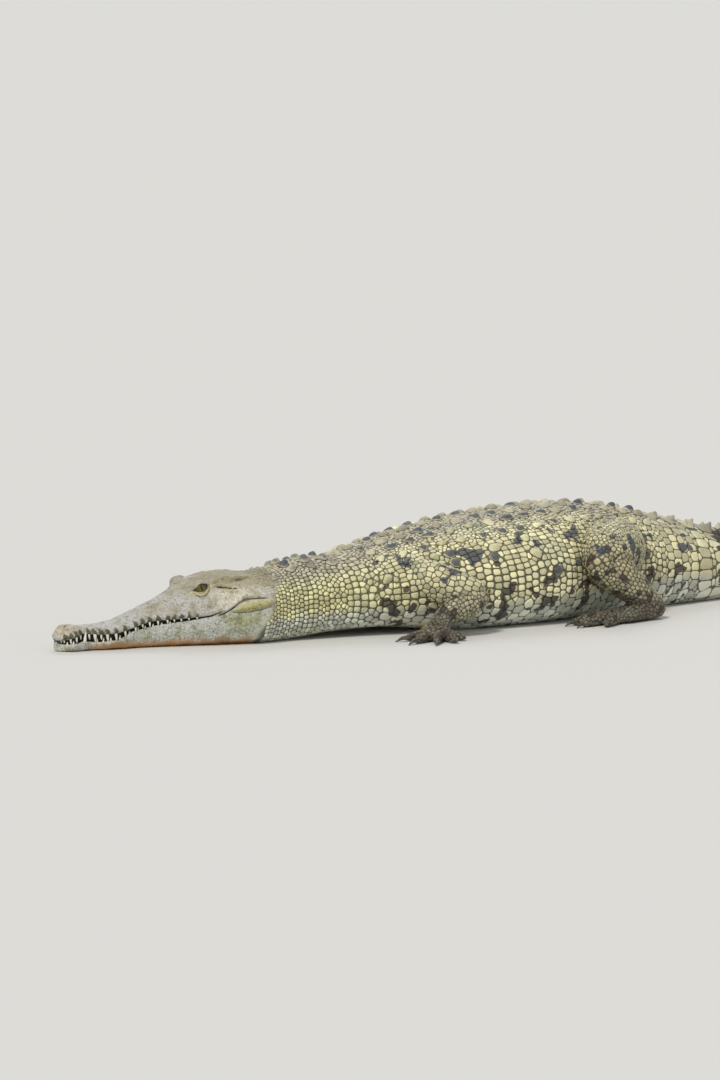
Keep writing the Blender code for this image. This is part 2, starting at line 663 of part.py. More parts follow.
def make_foot(name, sole, digits, mirror, shift, parts, cutters):
    """A hand or hind foot with its digits, and the claws of its inner digits."""
    foot = new_object(name, tube(sole, LIMB_SIDES, mirror, shift), parts)
    for root, tip, radius in digits:
        join_with(foot, digit(root, tip, radius, mirror, shift), cutters)
    for k, (root, tip, radius) in enumerate(digits[:CLAWED_DIGITS]):
        nail = new_object(f"claw_{name}_{k + 1}", claw(root, tip, mirror, shift), parts)
        cut_by(nail, digit(root, tip, radius, mirror, shift, grow=GAP), cutters)
        cut_by(nail, floor_block(), cutters)
    cut_by(foot, floor_block(), cutters)
    return foot


def make_limb(side_name, mirror, parts, cutters):
    """An arm and a leg of one side, each length trimmed where it meets the one before."""
    arm_shift = RIGHT_ARM_SHIFT if mirror < 0 else 0.0
    leg_shift = RIGHT_LEG_SHIFT if mirror < 0 else 0.0
    chains = (
        ((f"upper_arm_{side_name}", UPPER_ARM), (f"forearm_{side_name}", FOREARM), arm_shift),
        ((f"thigh_{side_name}", THIGH), (f"shank_{side_name}", SHANK), leg_shift),
    )
    for (upper_name, upper), (lower_name, lower), shift in chains:
        first = new_object(upper_name, tube(upper, LIMB_SIDES, mirror, shift), parts)
        cut_by(first, trunk_body(grow=GAP), cutters)
        second = new_object(lower_name, tube(lower, LIMB_SIDES, mirror, shift), parts)
        cut_by(second, tube(upper, LIMB_SIDES, mirror, shift, grow=GAP), cutters)
        cut_by(second, trunk_body(grow=GAP), cutters)
    hand_digits = [(FINGER_ROOT, tip, FINGER_RADIUS) for tip in FINGER_TIPS]
    hand = make_foot(f"hand_{side_name}", PALM, hand_digits, mirror, arm_shift, parts, cutters)
    cut_by(hand, tube(FOREARM, LIMB_SIDES, mirror, arm_shift, grow=GAP), cutters)
    foot_digits = [(TOE_ROOT, tip, TOE_RADIUS) for tip in TOE_TIPS]
    foot = make_foot(f"foot_{side_name}", SOLE, foot_digits, mirror, leg_shift, parts, cutters)
    cut_by(foot, tube(SHANK, LIMB_SIDES, mirror, leg_shift, grow=GAP), cutters)


# ---- the whole animal ----


def make_torso(parts):
    new_object("neck", loft([trunk_ring(s, keel) for s, keel in neck_rings()]), parts)
    new_object("trunk", trunk_body(), parts)
    for k, (front, rear) in enumerate(zip(TAIL_CUTS, TAIL_CUTS[1:])):
        rings = [tail_ring(s, crest) for s, crest in tail_rings(front, rear)]
        new_object(f"tail_{k + 1}", loft(rings), parts)


def finish_surfaces(parts):
    hide = material_of("hide", HIDE, 0.6)
    jaw_hide = material_of("jaw_hide", JAW_HIDE, 0.55)
    limb_hide = material_of("limb_hide", LIMB_HIDE, 0.6)
    eye = material_of("eye", EYE_COLOUR, 0.1)
    claw_horn = material_of("claw_horn", CLAW_COLOUR, 0.4)
    for obj in parts.objects:
        if obj.name.startswith("eye"):
            shade(obj, eye)
        elif obj.name.startswith("claw"):
            shade(obj, claw_horn)
        elif obj.name.startswith(LIMB_PIECES):
            shade(obj, limb_hide)
        elif obj.name in ("head", "lower_jaw"):
            shade(obj, jaw_hide)
        else:
            shade(obj, hide)


def stand_on_origin(parts):
    """Moves every piece so that the middle of the whole box is over the origin."""
    points = [obj.matrix_world @ v.co for obj in parts.objects for v in obj.data.vertices]
    xs = [p.x for p in points]
    ys = [p.y for p in points]
    middle = Vector(((min(xs) + max(xs)) / 2, (min(ys) + max(ys)) / 2, 0))
    body = bpy.data.objects.new("crocodile_origin", None)
    bpy.context.scene.collection.objects.link(body)
    body.location = -middle
    for obj in parts.objects:
        obj.parent = body


def main():
    for obj in list(bpy.data.objects):
        bpy.data.objects.remove(obj)
    parts = bpy.data.collections.new(MODEL_NAME)
    cutters = bpy.data.collections.new("cutters")
    for collection in (parts, cutters):
        bpy.context.scene.collection.children.link(collection)
    make_torso(parts)
    head = make_head(parts, cutters)
    jaw = new_object("lower_jaw", loft([jaw_ring(s) for s in JAW_STATIONS]), parts)
    join_with(head, teeth(upper=True), cutters)
    join_with(jaw, teeth(upper=False), cutters)
    cut_by(jaw, teeth(upper=True, grow=GAP), cutters)
    cut_by(head, teeth(upper=False, grow=GAP), cutters)
    for side_name, mirror in (("left", 1), ("right", -1)):
        make_limb(side_name, mirror, parts, cutters)
    for obj in parts.objects:
        if obj.name.startswith(JOINED_PIECES):
            merge_flat_faces(obj)
    finish_surfaces(parts)
    stand_on_origin(parts)


main()
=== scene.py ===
import math

import bmesh
import bpy
import numpy as np
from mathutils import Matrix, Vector, noise
from mathutils.bvhtree import BVHTree
from mathutils.kdtree import KDTree


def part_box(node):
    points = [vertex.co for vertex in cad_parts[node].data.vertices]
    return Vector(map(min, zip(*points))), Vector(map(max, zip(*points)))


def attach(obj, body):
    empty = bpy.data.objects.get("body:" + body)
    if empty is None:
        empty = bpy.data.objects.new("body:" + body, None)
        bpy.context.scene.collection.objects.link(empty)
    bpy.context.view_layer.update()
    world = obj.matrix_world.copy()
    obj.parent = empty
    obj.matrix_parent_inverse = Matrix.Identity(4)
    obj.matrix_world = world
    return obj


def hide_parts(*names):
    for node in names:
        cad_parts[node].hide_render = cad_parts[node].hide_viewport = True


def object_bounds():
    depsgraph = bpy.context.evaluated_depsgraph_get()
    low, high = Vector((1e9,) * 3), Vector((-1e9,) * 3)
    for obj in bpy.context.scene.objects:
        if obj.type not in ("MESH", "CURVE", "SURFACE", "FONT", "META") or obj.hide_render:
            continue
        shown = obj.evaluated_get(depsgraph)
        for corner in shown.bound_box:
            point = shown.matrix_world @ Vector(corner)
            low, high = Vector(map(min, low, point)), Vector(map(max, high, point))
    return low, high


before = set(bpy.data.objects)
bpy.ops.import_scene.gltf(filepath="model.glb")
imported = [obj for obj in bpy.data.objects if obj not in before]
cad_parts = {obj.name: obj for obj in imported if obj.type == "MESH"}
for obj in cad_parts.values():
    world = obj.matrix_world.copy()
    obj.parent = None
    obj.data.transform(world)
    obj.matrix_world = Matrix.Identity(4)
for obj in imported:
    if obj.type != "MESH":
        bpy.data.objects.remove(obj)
cadLow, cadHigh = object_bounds()
rng = np.random.default_rng(41)

# metres all through; s runs along the spine from the snout tip, side is towards the animal's left
spine = {
    "length": 2.62,
    "step": 0.002,
    # (s, heading in degrees, from head to tail)
    "headings": ((0.00, -10), (0.40, -10), (0.62, 0), (1.25, 0), (1.60, 9), (1.95, 15), (2.25, 6),
                 (2.62, -16)),
}

body = {
    "trunkStart": 0.585,
    "tailStart": 1.250,
    "halfWidth": (
        (0.38, 0.092), (0.43, 0.087), (0.50, 0.091), (0.57, 0.108), (0.63, 0.128), (0.72, 0.152),
        (0.84, 0.176), (0.93, 0.180), (1.01, 0.164), (1.10, 0.138), (1.20, 0.118), (1.30, 0.098),
        (1.44, 0.079), (1.60, 0.062), (1.80, 0.046), (2.00, 0.034), (2.20, 0.024), (2.40, 0.015),
        (2.55, 0.009), (2.62, 0.005),
    ),
    "backHeight": (
        (0.38, 0.117), (0.43, 0.126), (0.48, 0.135), (0.53, 0.138), (0.57, 0.142), (0.63, 0.154),
        (0.69, 0.166), (0.78, 0.180), (0.86, 0.191), (0.95, 0.198), (1.05, 0.202), (1.13, 0.198),
        (1.20, 0.187), (1.28, 0.168), (1.36, 0.150), (1.44, 0.130), (1.60, 0.106), (1.80, 0.085),
        (2.00, 0.067), (2.20, 0.049), (2.40, 0.031), (2.55, 0.018), (2.62, 0.010),
    ),
    "bellyHeight": (
        (0.38, -0.006), (0.45, -0.001), (0.52, 0.007), (0.60, 0.010), (0.70, 0.001), (0.78, -0.010),
        (1.10, -0.010), (1.22, -0.006), (1.36, -0.006), (1.80, -0.005), (2.40, -0.003), (2.62, -0.002),
    ),
    "widestHeight": (
        (0.38, 0.058), (0.55, 0.068), (0.75, 0.076), (1.05, 0.084), (1.25, 0.078), (1.44, 0.062),
        (1.80, 0.040), (2.20, 0.023), (2.62, 0.005),
    ),
    "backRoundness": ((0.38, 2.3), (0.60, 2.2), (1.00, 2.15), (1.25, 2.0), (1.60, 1.6), (2.62, 1.5)),
    "bellyRoundness": 2.7,
    "finePoints": 160,  # of a quarter of a section
    "domeReach": 0.012,
    # how far the skin lies under the tops of the scales
    "coat": ((0.38, 0.0010), (0.45, 0.0022), (0.60, 0.0028), (1.25, 0.0028), (1.80, 0.0018), (2.62, 0.0008)),
    "floorGap": 0.0012,
    # (s where a stretch of rings ends, distance between its rings)
    "rings": ((0.62, 0.0050), (1.25, 0.0080), (2.60, 0.0095)),
}

head = {
    "tip": 0.012,
    "end": 0.395,
    "crownHeight": (
        (0.010, 0.034), (0.020, 0.042), (0.033, 0.0465), (0.053, 0.044), (0.082, 0.044), (0.113, 0.048),
        (0.144, 0.056), (0.173, 0.066), (0.206, 0.082), (0.235, 0.093), (0.262, 0.098), (0.290, 0.108),
        (0.320, 0.118), (0.365, 0.120), (0.395, 0.118),
    ),
    "rimSide": (
        (0.010, 0.004), (0.022, 0.014), (0.039, 0.017), (0.068, 0.014), (0.115, 0.019), (0.173, 0.023),
        (0.226, 0.027), (0.262, 0.038), (0.300, 0.043), (0.365, 0.046), (0.395, 0.052),
    ),
    "rimHeight": (
        (0.010, 0.032), (0.022, 0.039), (0.039, 0.042), (0.068, 0.040), (0.115, 0.044), (0.173, 0.060),
        (0.226, 0.082), (0.248, 0.099), (0.268, 0.113), (0.290, 0.113), (0.320, 0.117), (0.365, 0.117),
        (0.395, 0.108),
    ),
    "cheekSide": (
        (0.010, 0.006), (0.022, 0.026), (0.037, 0.032), (0.058, 0.025), (0.087, 0.031), (0.115, 0.037),
        (0.154, 0.038), (0.202, 0.046), (0.250, 0.056), (0.300, 0.067), (0.345, 0.080), (0.385, 0.091),
        (0.395, 0.088),
    ),
    "cheekHeight": (
        (0.010, 0.028), (0.058, 0.032), (0.115, 0.039), (0.173, 0.052), (0.226, 0.066), (0.270, 0.076),
        (0.320, 0.084), (0.395, 0.088),
    ),
    "lipSide": (
        (0.010, 0.006), (0.016, 0.019), (0.023, 0.028), (0.037, 0.0335), (0.054, 0.0265), (0.077, 0.0330),
        (0.111, 0.0410), (0.130, 0.0420), (0.152, 0.0400), (0.178, 0.0440), (0.211, 0.0520), (0.250, 0.0625),
        (0.300, 0.0770), (0.345, 0.0890), (0.380, 0.0975), (0.395, 0.0930),
    ),
    "mouthHeight": (
        (0.010, 0.0170), (0.029, 0.0185), (0.053, 0.0235), (0.082, 0.0215), (0.111, 0.0235), (0.144, 0.0345),
        (0.184, 0.0430), (0.245, 0.0490), (0.275, 0.0530), (0.300, 0.0630), (0.340, 0.0700), (0.395, 0.0740),
    ),
    "mouthOpen": (
        (0.010, 0.0070), (0.020, 0.0095), (0.034, 0.0120), (0.058, 0.0140), (0.080, 0.0145), (0.100, 0.0138),
        (0.124, 0.0115), (0.143, 0.0065), (0.160, 0.0100), (0.176, 0.0100), (0.194, 0.0085), (0.221, 0.0062),
        (0.258, 0.0040), (0.284, 0.0016), (0.305, 0.0006), (0.395, 0.0006),
    ),
    "lipDepth": (
        (0.010, 0.0050), (0.030, 0.0095), (0.210, 0.0095), (0.262, 0.0060), (0.285, 0.0028), (0.310, 0.0),
        (0.395, 0.0),
    ),
    # how far the lower lip lies inside the upper one; at the notch it stands outside it
    "jawInset": (
        (0.010, 0.0035), (0.039, 0.0035), (0.054, -0.0035), (0.069, 0.0035), (0.230, 0.0040), (0.290, 0.0),
        (0.395, 0.0),
    ),
    "jawEdgeHeight": ((0.010, 0.0060), (0.058, 0.0075), (0.202, 0.0120), (0.300, 0.0190), (0.395, 0.0250)),
    "floorGap": 0.0006,
    "softening": 0.0021,  # how far the lines of a section are rounded
    "lipSoftening": 0.0006,
    "lipNear": 0.0075,  # how far from the lips their own softening reaches
    "lipCrowding": (2.2, 0.075),  # how much closer the ring's points stand at the lips, and over what share
    "finePoints": 420,  # of half a section
    "domeReach": 0.0022,
    # (s where a stretch of rings ends, distance between its rings)
    "rings": ((0.040, 0.0014), (0.395, 0.0025)),
    "joinsBody": (0.372, 0.425),  # s over which the head's section turns into the neck's
}

halfPoints = 67  # of a ring of skin, from the middle of the back to the middle of the belly


def through(table):
    # a smooth function through (place, value) pairs that never overshoots them
    places, values = np.array(table, dtype=float).T
    steps = np.diff(places)
    slopes = np.diff(values) / steps
    tangents = np.zeros_like(values)
    tangents[0], tangents[-1] = slopes[0], slopes[-1]
    turns = slopes[:-1] * slopes[1:] > 0
    safe = np.where(turns, slopes[:-1] + slopes[1:], 1.0)
    tangents[1:-1] = np.where(turns, 2 * slopes[:-1] * slopes[1:] / safe, 0.0)

    def value(place):
        place = np.clip(place, places[0], places[-1])
        k = np.clip(np.searchsorted(places, place, side="right") - 1, 0, len(steps) - 1)
        t = (place - places[k]) / steps[k]
        rise = values[k + 1] - values[k]
        start = tangents[k] * steps[k]
        bend = (tangents[k] + tangents[k + 1]) * steps[k] - 2 * rise
        return values[k] + t * (start + t * (rise - start + (t - 1) * bend))

    return value


def functionsOf(tables):
    return {name: through(table) for name, table in tables.items() if isinstance(table, tuple) and
            isinstance(table[0], tuple) and name != "rings"}


bodyAt = functionsOf(body)
headAt = functionsOf(head)
heading = through([(s, math.radians(angle)) for s, angle in spine["headings"]])

spineS = np.arange(round(spine["length"] / spine["step"]) + 1) * spine["step"]
spineX = np.concatenate([[0.0], np.cumsum(np.cos(heading(spineS[:-1]))) * spine["step"]])
spineY = np.concatenate([[0.0], np.cumsum(np.sin(heading(spineS[:-1]))) * spine["step"]])
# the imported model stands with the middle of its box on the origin, and the trunk and tail_1 say where that is
trunkLow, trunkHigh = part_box("trunk")
originShift = np.array([
    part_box("tail_1")[0].x - np.interp(body["tailStart"], spineS, spineX),
    (trunkLow.y + trunkHigh.y) / 2 - np.interp(body["trunkStart"] + 0.3, spineS, spineY),
])


def place(s, side, z):
    s, side, z = np.broadcast_arrays(np.asarray(s, float), side, z)
    turn = heading(s)
    x = np.interp(s, spineS, spineX) + side * np.sin(turn) + originShift[0]
    y = np.interp(s, spineS, spineY) - side * np.cos(turn) + originShift[1]
    return np.stack([x, y, z], axis=-1)


def smoothStep(low, high, value):
    t = np.clip((value - low) / (high - low), 0, 1)
    return t * t * (3 - 2 * t)


def within(value, low, high, last, end):
    # fades in from low to high and out from last to end
    return smoothStep(low, high, value) * (1 - smoothStep(last, end, value))


def bump(value, width):
    return np.exp(-((value / width) ** 2))


def grain(points, size, seed=0.0):
    # smooth noise from -1 to 1 at each point
    scaled = points / size + seed
    return np.array([noise.noise(Vector(p)) for p in scaled])


def unit(vectors):
    return vectors / np.maximum(np.linalg.norm(vectors, axis=-1, keepdims=True), 1e-12)


def arcOf(line):
    steps = np.linalg.norm(np.diff(line, axis=0), axis=1)
    return np.concatenate([[0.0], np.cumsum(steps)])


def bodyHalf(s, coat=None):
    # fine points (side, z) from the middle of the back to the middle of the belly
    coat = bodyAt["coat"](s) if coat is None else coat
    wide = bodyAt["halfWidth"](s) - coat
    top = bodyAt["backHeight"](s) - coat
    low = bodyAt["widestHeight"](s)
    power = bodyAt["backRoundness"](s)
    turn = np.linspace(0, math.pi / 2, body["finePoints"])
    upper = np.stack([wide * np.sin(turn) ** (2 / power),
                      low + (top - low) * np.cos(turn) ** (2 / power)], -1)
    power = body["bellyRoundness"]
    drop = low - bodyAt["bellyHeight"](s)
    under = np.stack([wide * np.cos(turn) ** (2 / power), low - drop * np.sin(turn) ** (2 / power)], -1)
    half = np.concatenate([upper, under[1:]])
    floor = min(body["floorGap"], 0.25 * top)
    half[:, 1] = np.maximum(half[:, 1], floor)
    return half


def headHalf(s):
    # the same for the head, with where the lips meet
    crown, rimX, rimZ = headAt["crownHeight"](s), headAt["rimSide"](s), headAt["rimHeight"](s)
    cheekX, cheekZ, lipX = headAt["cheekSide"](s), headAt["cheekHeight"](s), headAt["lipSide"](s)
    mouthZ, gape, edgeZ = headAt["mouthHeight"](s), headAt["mouthOpen"](s), headAt["jawEdgeHeight"](s)
    lipZ, jawLipZ = mouthZ + gape / 2, mouthZ - gape / 2
    jawX = max(0.3 * lipX, lipX - headAt["jawInset"](s))
    tuck = 0.001 * min(1.0, headAt["lipDepth"](s) / 0.003)
    inner = max(0.5 * lipX, min(lipX, jawX) - headAt["lipDepth"](s))
    keys = np.array([
        (0.0, crown),
        (0.55 * rimX, crown + 0.35 * (rimZ - crown)),
        (rimX, rimZ),
        (0.60 * rimX + 0.40 * cheekX + 0.002, 0.55 * rimZ + 0.45 * cheekZ),
        (cheekX, cheekZ),
        (lipX, lipZ + 0.30 * (cheekZ - lipZ)),
        (lipX - tuck, lipZ),
        (inner, mouthZ + 0.30 * gape),
        (inner, mouthZ - 0.30 * gape),
        (jawX, jawLipZ),
        (jawX, 0.45 * jawLipZ + 0.55 * edgeZ),
        (0.86 * jawX + 0.06 * edgeZ, 0.55 * edgeZ),
        (0.62 * jawX, head["floorGap"]),
        (0.0, head["floorGap"]),
    ])
    arc = arcOf(keys)
    count = head["finePoints"]
    fine = np.linspace(0, arc[-1], count)
    line = np.stack([np.interp(fine, arc, keys[:, k]) for k in (0, 1)], -1)
    mirrored = line[1:][::-1] * (-1, 1), line, line[:-1][::-1] * (-1, 1)
    whole = np.concatenate(mirrored)
    step = arc[-1] / (count - 1)
    smoothed = []
    for width in (head["softening"], head["lipSoftening"]):
        reach = int(3 * width / step) + 1
        weights = bump(np.arange(-reach, reach + 1) * step, width * math.sqrt(2))
        weights /= weights.sum()
        both = [np.convolve(whole[:, k], weights, mode="same") for k in (0, 1)]
        smoothed.append(np.stack(both, -1)[count - 1:2 * count - 1])
    lips = (arc[7] + arc[8]) / 2
    nearLips = bump(fine - lips, head["lipNear"] + gape)[:, None]
    half = smoothed[0] * (1 - nearLips) + smoothed[1] * nearLips
    half[0, 0] = half[-1, 0] = 0.0
    half[:, 1] = np.maximum(half[:, 1], head["floorGap"])
    return half, lips / arc[-1]


def spaced(half, focus=0.0, strength=0.0):
    # picks the ring's points along the fine line, closer together near the focus
    arc = arcOf(half)
    share = arc / arc[-1]
    density = 1 + strength * bump(share - focus, head["lipCrowding"][1])
    reach = np.concatenate([[0.0], np.cumsum((density[1:] + density[:-1]) / 2 * np.diff(share))])
    wanted = np.linspace(0, reach[-1], halfPoints)
    return np.stack([np.interp(wanted, reach, half[:, k]) for k in (0, 1)], -1)


def ringHalf(s):
    first, last = head["joinsBody"]
    if s >= last:
        return spaced(bodyHalf(s))
    part = float(smoothStep(first, last, s))
    ownHalf, lips = headHalf(min(s, head["end"]))
    own = spaced(ownHalf, lips, head["lipCrowding"][0] * (1 - part))
    if part <= 0:
        return own
    return own * (1 - part) + spaced(bodyHalf(max(s, body["halfWidth"][0][0]))) * part


def stations(start, stretches):
    places = [start]
    for end, step in stretches:
        count = max(1, round((end - places[-1]) / step))
        places += list(np.linspace(places[-1], end, count + 1)[1:])
    return places


def roundedEnd(s, half, reach, outwards, count=5):
    # rings that close an end off in a dome; (s, half) pairs from the tip inwards
    middle = np.array([0.0, half[:, 1].mean()])
    made = []
    for k in range(count):
        turn = (k + 0.5) / count * math.pi / 2
        size = math.sin(turn)
        made.append((s + outwards * reach * math.cos(turn), middle + (half - middle) * size))
    return made


def loftMesh(name, rings):
    # a closed mesh through rings of points, each an array of the same length
    count = len(rings[0])
    points = np.concatenate(rings)
    near = np.arange(count)
    after = (near + 1) % count
    faces = []
    for k in range(len(rings) - 1):
        base, top = k * count, (k + 1) * count
        faces += np.stack([base + near, top + near, top + after, base + after], -1).tolist()
    faces.append(near[::-1].tolist())
    faces.append((near + (len(rings) - 1) * count).tolist())
    mesh = bpy.data.meshes.new(name)
    mesh.from_pydata(points.tolist(), [], faces)
    bm = bmesh.new()
    bm.from_mesh(mesh)
    bmesh.ops.recalc_face_normals(bm, faces=bm.faces)
    bm.to_mesh(mesh)
    bm.free()
    return mesh


def objectOf(name, mesh):
    made = bpy.data.objects.new(name, mesh)
    bpy.context.scene.collection.objects.link(made)
    return made


def pointsOf(mesh, what="co"):
    values = np.zeros(len(mesh.vertices) * 3)
    if what == "co":
        mesh.vertices.foreach_get("co", values)
    else:
        mesh.vertex_normals.foreach_get("vector", values)
    return values.reshape(-1, 3)


def setPoints(mesh, points):
    mesh.vertices.foreach_set("co", points.ravel())
    mesh.update()


def liftPoints(mesh, floor):
    points = pointsOf(mesh)
    points[:, 2] = np.maximum(points[:, 2], floor)
    setPoints(mesh, points)


def applied(obj):
    # works the object's modifiers into its mesh
    bpy.context.view_layer.update()
    done = bpy.data.meshes.new_from_object(obj.evaluated_get(bpy.context.evaluated_depsgraph_get()))
    obj.modifiers.clear()
    obj.data = done


def buildTorso():
    headRings = [(s, ringHalf(s)) for s in stations(head["tip"], head["rings"])]
    tip = roundedEnd(head["tip"], headRings[0][1], head["domeReach"], -1)
    bodyRings = [(s, ringHalf(s)) for s in stations(head["end"], body["rings"])[1:]]
    tailTip = roundedEnd(bodyRings[-1][0], bodyRings[-1][1], body["domeReach"], 1)[::-1]
    rings = []
    for s, half in tip + headRings + bodyRings + tailTip:
        whole = np.concatenate([half, half[1:-1][::-1] * (-1, 1)])
        rings.append(place(s, whole[:, 0], whole[:, 1]))
    return objectOf("skin", loftMesh("skin", rings))


# points of the head in its own frame: s, side and z
headOrigin = place(0.0, 0.0, 0.0)
headAhead = np.array([math.cos(heading(0.0)), math.sin(heading(0.0)), 0.0])
headSideways = np.array([math.sin(heading(0.0)), -math.cos(heading(0.0)), 0.0])
headFrame = np.stack([headAhead, headSideways, (0.0, 0.0, 1.0)])

teeth = {
    # (s, how far it reaches across the gape) of each tooth
    "upper": (
        (0.0143, 0.62), (0.0166, 0.80), (0.0190, 0.75), (0.0275, 0.95), (0.0370, 0.80), (0.0465, 0.66),
        (0.0635, 0.74), (0.0730, 1.00), (0.0835, 0.70), (0.0940, 0.98), (0.1090, 1.05), (0.1260, 1.00),
        (0.1465, 1.45), (0.1600, 0.80), (0.1725, 0.95), (0.1870, 1.00), (0.2035, 0.95), (0.2150, 0.80),
        (0.2270, 0.95), (0.2400, 0.85), (0.2540, 0.90),
    ),
    "lower": (
        (0.0235, 0.55), (0.0330, 0.60), (0.0545, 1.16), (0.0780, 0.50), (0.0885, 0.62), (0.1010, 0.55),
        (0.1175, 0.62), (0.1360, 0.60), (0.1530, 0.60), (0.1660, 0.55), (0.1800, 0.60), (0.1950, 0.55),
        (0.2095, 0.55),
    ),
    "usual": 0.0110,
    "inset": 0.0026,
    "front": 2.75,  # how fast the row widens from the tip of the snout
    "stainFrom": 0.018,
    "stainHalf": (0.0042, 0.0066),
    "shortest": 0.0022,
    "slender": 0.21,  # half thickness as a share of the length
    "bend": 0.16,
    "lean": (1.1, 0.12),  # of the root inwards, and of the tip
    "thickness": (0.0019, 0.0031),  # least and most half thickness at the gum
    "root": 0.22,  # share of the length that stands in the jaw
    "sides": 12,
    "rings": 9,
}

eyes = {
    "at": (0.270, 0.0405, 0.0982),
    "radius": 0.0145,
    "looks": (-0.26, 0.94, 0.20),
    "tilt": math.radians(13),
    "halfLong": 0.0142,
    "upper": 0.0042,
    "lower": 0.0056,
    "lidThickness": 0.0015,
    "lidPull": (0.0045, 0.0115),  # how far from the opening the skin follows the ball
    "reach": 0.034,
    # (distance outside the opening, width, rise above the eye, rise below it) of each fold of the lids
    "lidFolds": ((0.0016, 0.0011, 0.0008, 0.0007), (0.0034, 0.0009, -0.0010, -0.0010),
                 (0.0058, 0.0019, 0.0024, 0.0017), (0.0088, 0.0012, 0.0, -0.0010)),
}

sculpt = {
    "ends": 0.42,  # s up to which the head's own forms reach
    "fadesOver": (0.385, 0.418),
    # (reach, cuts) where the skin is divided finer
    "fine": {"eye": (0.024, 2), "ear": (0.021, 1), "groove": (0.021, 2), "fold": (0.030, 1),
             "nostril": (0.012, 1)},
    "foldMiddle": (0.322, 0.062, 0.070),
    "nostrilAt": (0.0245, 0.0078, 0.0445),
    "nostrilRim": (0.0036, 0.0022, 0.0016),  # distance, width and rise
    "nostrilHalf": (0.0036, 0.0018),
    "nostrilDepth": 0.0042,
    "festoon": 0.0013,  # swelling of the lips at an ordinary tooth
    # side of the two ridges from the eyes towards the snout
    "ridgeSide": ((0.120, 0.175, 0.245), (0.006, 0.013, 0.028)),
    "ridgeHeight": 0.0028,
    "ridgeHalf": 0.0045,
    # s over which the ridges, the skull table, the fold and its colour fade in and out
    "ridgeSpan": (0.115, 0.160, 0.225, 0.252),
    "tableSpan": (0.280, 0.296, 0.360, 0.378),
    "foldSpan": (0.283, 0.297, 0.368, 0.388),
    "foldTint": (0.283, 0.295, 0.368, 0.388),
    # (s, its reach, reach to the sides, rise) of the hump of the snout and the hollow between the eyes
    "midline": ((0.196, 0.024, 0.010, 0.0022), (0.262, 0.022, 0.016, -0.0032)),
    "tableEdge": 0.0026,
    # (s, its reach, z, its reach, rise, least side) of the muscles of jaw and cheek
    "muscles": ((0.352, 0.030, 0.036, 0.016, 0.0030, 0.050), (0.318, 0.020, 0.084, 0.010, 0.0018, 0.045)),
    # (rise, size, seed) of the low hummocks where the hide is tight on the bone
    "hummocks": ((0.0013, 0.018, 3.1), (0.00065, 0.0062, 7.7)),
    "padAt": (0.350, 0.0690),
    "padHalf": (0.040, 0.0080),
    "padTilt": 0.17,
    "padHeight": 0.0042,
    "padFold": 0.0026,
    "foldDepth": 0.0034,
    "foldWidth": 0.0015,
    # (height over it, width, rise) of the lips of skin over the fold and the ear
    "foldLip": (0.0050, 0.0030, 0.0022),
    "earLip": (0.0046, 0.0028, 0.0022),
    "grooveHalf": (0.019, 0.0017),
    "bar": (0.006, 0.016, 0.0065, 0.0036, 0.0020),  # how far behind and under the groove, reaches and rise
    # (s, z) of the fold that runs from the corner of the mouth over the pad
    "fold": ((0.280, 0.0530), (0.295, 0.0555), (0.308, 0.0620), (0.3275, 0.0752), (0.343, 0.0806),
             (0.3825, 0.0820)),
    "browGroove": (0.342, 0.1112),  # s and z, under the rear corner of the skull table
    "grooveTilt": 0.12,
    "grooveDepth": 0.0038,
    "earAt": (0.314, 0.0992),
    "earHalf": (0.021, 0.0014),
    "earTilt": -0.11,
    "earDepth": 0.0036,
}
foldAt = through(sculpt["fold"])


def toHead(points):
    return (points - headOrigin) @ headFrame.T


def fromHead(points):
    return points @ headFrame + headOrigin


def toothPlaces(upper):
    # (s, length out of the gum) of the teeth of one jaw
    return [(s, reach * float(headAt["mouthOpen"](s))) for s, reach in teeth["upper" if upper else "lower"]]


def eyeFrame(mirror):
    # middle of the ball, the way it looks, along the opening, and up across it
    middle = np.array(eyes["at"]) * (1, mirror, 1)
    looks = unit(np.array(eyes["looks"]) * (1, mirror, 1))
    along = np.array([math.cos(eyes["tilt"]), 0.0, math.sin(eyes["tilt"])])
    along = unit(along - (along @ looks) * looks)
    up = np.cross(along, looks) * mirror
    return middle, looks, along, up


def eyeOpening(points, mirror):
    # distance outside the edge of the lids, height across the opening, and distance from the ball's middle
    middle, looks, along, up = eyeFrame(mirror)
    away = points - middle
    reach = np.linalg.norm(away, axis=-1)
    ways = away / np.maximum(reach, 1e-9)[:, None]
    facing = ways @ looks
    x = np.arctan2(ways @ along, facing) * eyes["radius"]
    y = np.arctan2(ways @ up, facing) * eyes["radius"]
    arch = np.clip(1 - (x / eyes["halfLong"]) ** 2, 0, 1) ** 0.75
    outside = np.maximum(np.maximum(y - eyes["upper"] * arch, -eyes["lower"] * arch - y),
                         np.abs(x) - eyes["halfLong"])
    outside = np.where(facing > 0.05, outside, 1.0)
    return outside, y, reach, ways


def shapeEye(points, mirror):
    outside, y, reach, ways = eyeOpening(points, mirror)
    near = reach < eyes["reach"]
    # under the ball's surface inside the opening, over it outside
    lid = eyes["radius"] - 0.0028 + 0.0034 * smoothStep(-0.0012, 0.0002, outside)
    lid += (eyes["lidThickness"] - 0.0006) * smoothStep(0.0001, 0.0014, outside)
    for at, width, above, below in eyes["lidFolds"]:
        lid += np.where(y < 0, below, above) * bump(outside - at, width)
    covered = np.maximum(reach, lid)
    pull = 1 - smoothStep(*eyes["lidPull"], outside)
    target = covered * (1 - pull) + lid * pull
    moved = points + ways * (target - reach)[:, None]
    return np.where((near & (outside < 0.5))[:, None], moved, points)


